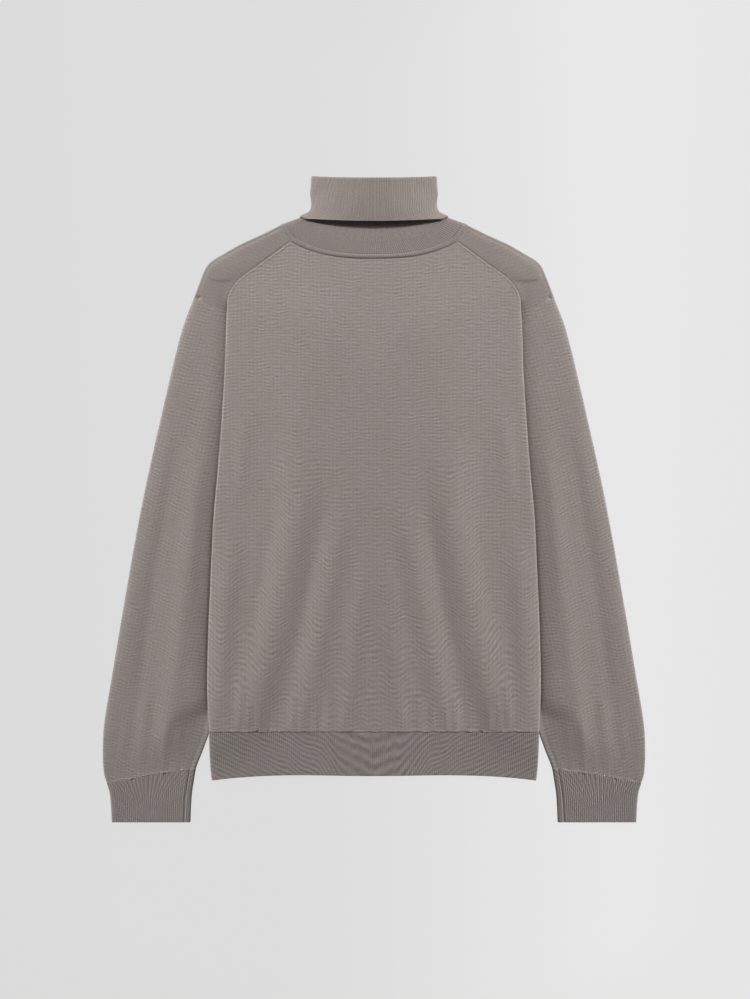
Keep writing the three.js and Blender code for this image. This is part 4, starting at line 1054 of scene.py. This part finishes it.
def sew(name, path, count, seed, mirrored=False):
    """A row of small uneven stitches that lie on the cloth along path(share)."""
    bm = bmesh.new()
    for i in range(count):
        here = np.array(path((i + 0.5) / count), float)
        ahead = np.array(path((i + 0.95) / count), float)
        along = Vector(ahead - here).normalized()
        shrink = 0.8 + 0.6 * uneven(i * 0.83, seed)
        size = Matrix.Diagonal((STITCH["length"] * shrink, STITCH["width"] * shrink, STITCH["height"] * shrink, 1))
        place = Matrix.Translation(here) @ along.to_track_quat("X", "Z").to_matrix().to_4x4() @ size
        bmesh.ops.create_uvsphere(bm, u_segments=8, v_segments=5, radius=0.5, matrix=Matrix.Scale(MM, 4) @ place)
    if mirrored:
        bmesh.ops.scale(bm, vec=(-1, 1, 1), verts=bm.verts)
        bmesh.ops.reverse_faces(bm, faces=bm.faces)
    for face in bm.faces:
        face.smooth = True
    mesh = bpy.data.meshes.new(name)
    bm.to_mesh(mesh)
    bm.free()
    mesh.materials.append(yarn_finish)
    stitches_piece = bpy.data.objects.new(name, mesh)
    bpy.context.scene.collection.objects.link(stitches_piece)
    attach(stitches_piece, "root")


def over(place):
    """A point on the upper face of a piece of cloth."""
    x, y, z = place
    return x, y, z + HALF + 0.05


def hem_path(share):
    x, y = lerp(-PANEL_WIDTH + 4, PANEL_WIDTH - 4, share), HEM_SEAM + 0.3 * uneven(share * 90, 2)
    return over((x, y, front_height(x, y, BODY_CREASES) + 0.8))


def cuff_path(share):
    return over(sleeve_place(lerp(LOOP_TOP, LOOP_RIGHT, share), 0.0008))


def shoulder_path(share):
    return over(sleeve_place(lerp(0.372, 0.488, share), 0.9992))


sew("hem_stitches", hem_path, 152, 1)
for piece_side in ("left", "right"):
    sew(f"cuff_stitches_{piece_side}", cuff_path, 40, 3, piece_side == "left")
    sew(f"shoulder_stitches_{piece_side}", shoulder_path, 15, 5, piece_side == "left")

# Floor, light and camera
# The floor glows by itself, not lit paper: its glow is painted light, paler towards the right as if lit from that
# side.
FLOOR_LEFT, FLOOR_RIGHT = (220, 220, 220), (231, 231, 231)
FLOOR_REACH = 8.0
PALER_FROM, PALER_TO = -0.13, 0.33


def make_floor():
    bm = bmesh.new()
    bmesh.ops.create_grid(bm, x_segments=1, y_segments=1, size=FLOOR_REACH)
    mesh = bpy.data.meshes.new("floor")
    bm.to_mesh(mesh)
    bm.free()
    floor = bpy.data.objects.new("floor", mesh)
    bpy.context.scene.collection.objects.link(floor)
    material = bpy.data.materials.new("Glowing floor")
    material.use_nodes = True
    tree = material.node_tree
    shader = tree.nodes["Principled BSDF"]
    place = add_node(tree, "ShaderNodeTexCoord").outputs["Object"]
    x = add_node(tree, "ShaderNodeSeparateXYZ", {0: place}).outputs[0]
    side = add_node(tree, "ShaderNodeMapRange", {0: x, 1: PALER_FROM, 2: PALER_TO},
                    interpolation_type="SMOOTHSTEP").outputs[0]
    painted_paler_glow = add_node(tree, "ShaderNodeMix", {"Factor": side, 6: (*rgb(*FLOOR_LEFT), 1), 7: (*rgb(*FLOOR_RIGHT), 1)},
                    data_type="RGBA").outputs[2]
    tree.links.new(painted_paler_glow, shader.inputs["Emission Color"])
    shader.inputs["Emission Strength"].default_value = 0.985
    shader.inputs["Base Color"].default_value = (0.02, 0.02, 0.02, 1)
    shader.inputs["Roughness"].default_value = 1
    shader.inputs["Specular IOR Level"].default_value = 0
    mesh.materials.append(material)


def add_light(name, target, away, size, power, spread=180):
    """A rectangle of light with one side along the sweater. away is where it hangs from what it is aimed at."""
    light = bpy.data.lights.new(name, "AREA")
    light.shape = "RECTANGLE"
    light.size, light.size_y = size
    light.energy = power
    light.spread = math.radians(spread)
    lamp = bpy.data.objects.new(name, light)
    bpy.context.scene.collection.objects.link(lamp)
    backward = Vector(away).normalized()
    lengthwise = (Vector((0, 1, 0)) - backward * backward.y).normalized()
    turn = Matrix((lengthwise, backward.cross(lengthwise), backward)).transposed()
    lamp.matrix_world = Matrix.Translation(Vector(target) + Vector(away)) @ turn.to_4x4()
    lamp.visible_camera = False


# Each side light is a narrow beam over its own half, so that folds are lit from the outside on both halves
SIDE_LIGHT = {"target": (0.184, 0, 0), "away": (1.3, 0.9, 0.8), "size": (1.1, 0.2), "power": 0.82, "spread": 3}
TOP_LIGHT = {"target": (0, 0, 0), "away": (0, 1.2, 0.9), "size": (0.5, 0.8), "power": 8.0}


def light_scene():
    for name, side in (("left_light", -1), ("right_light", 1)):
        (x, *target), (far, *away) = SIDE_LIGHT["target"], SIDE_LIGHT["away"]
        add_light(name, (side * x, *target), (side * far, *away), SIDE_LIGHT["size"], SIDE_LIGHT["power"],
                  SIDE_LIGHT["spread"])
    add_light("top_light", **TOP_LIGHT)
    world = bpy.data.worlds.new("Studio")
    bpy.context.scene.world = world
    world.use_nodes = True
    tree = world.node_tree
    background = tree.nodes["Background"]
    seen = add_node(tree, "ShaderNodeLightPath").outputs["Is Camera Ray"]
    strength = add_node(tree, "ShaderNodeMapRange", {0: seen, 3: 0.10, 4: 0.75}).outputs[0]
    tree.links.new(strength, background.inputs["Strength"])
    background.inputs["Color"].default_value = (1, 1, 1, 1)


def add_camera():
    data = bpy.data.cameras.new("camera")
    data.lens = LENS
    data.sensor_width = SENSOR
    camera = bpy.data.objects.new("camera", data)
    bpy.context.scene.collection.objects.link(camera)
    distance = VIEW_HEIGHT * LENS / SENSOR
    camera.location = (VIEW_CENTRE[0] * MM, VIEW_CENTRE[1] * MM, distance * MM)
    bpy.context.scene.camera = camera


make_floor()
light_scene()
add_camera()
bpy.context.scene.view_settings.view_transform = "Standard"
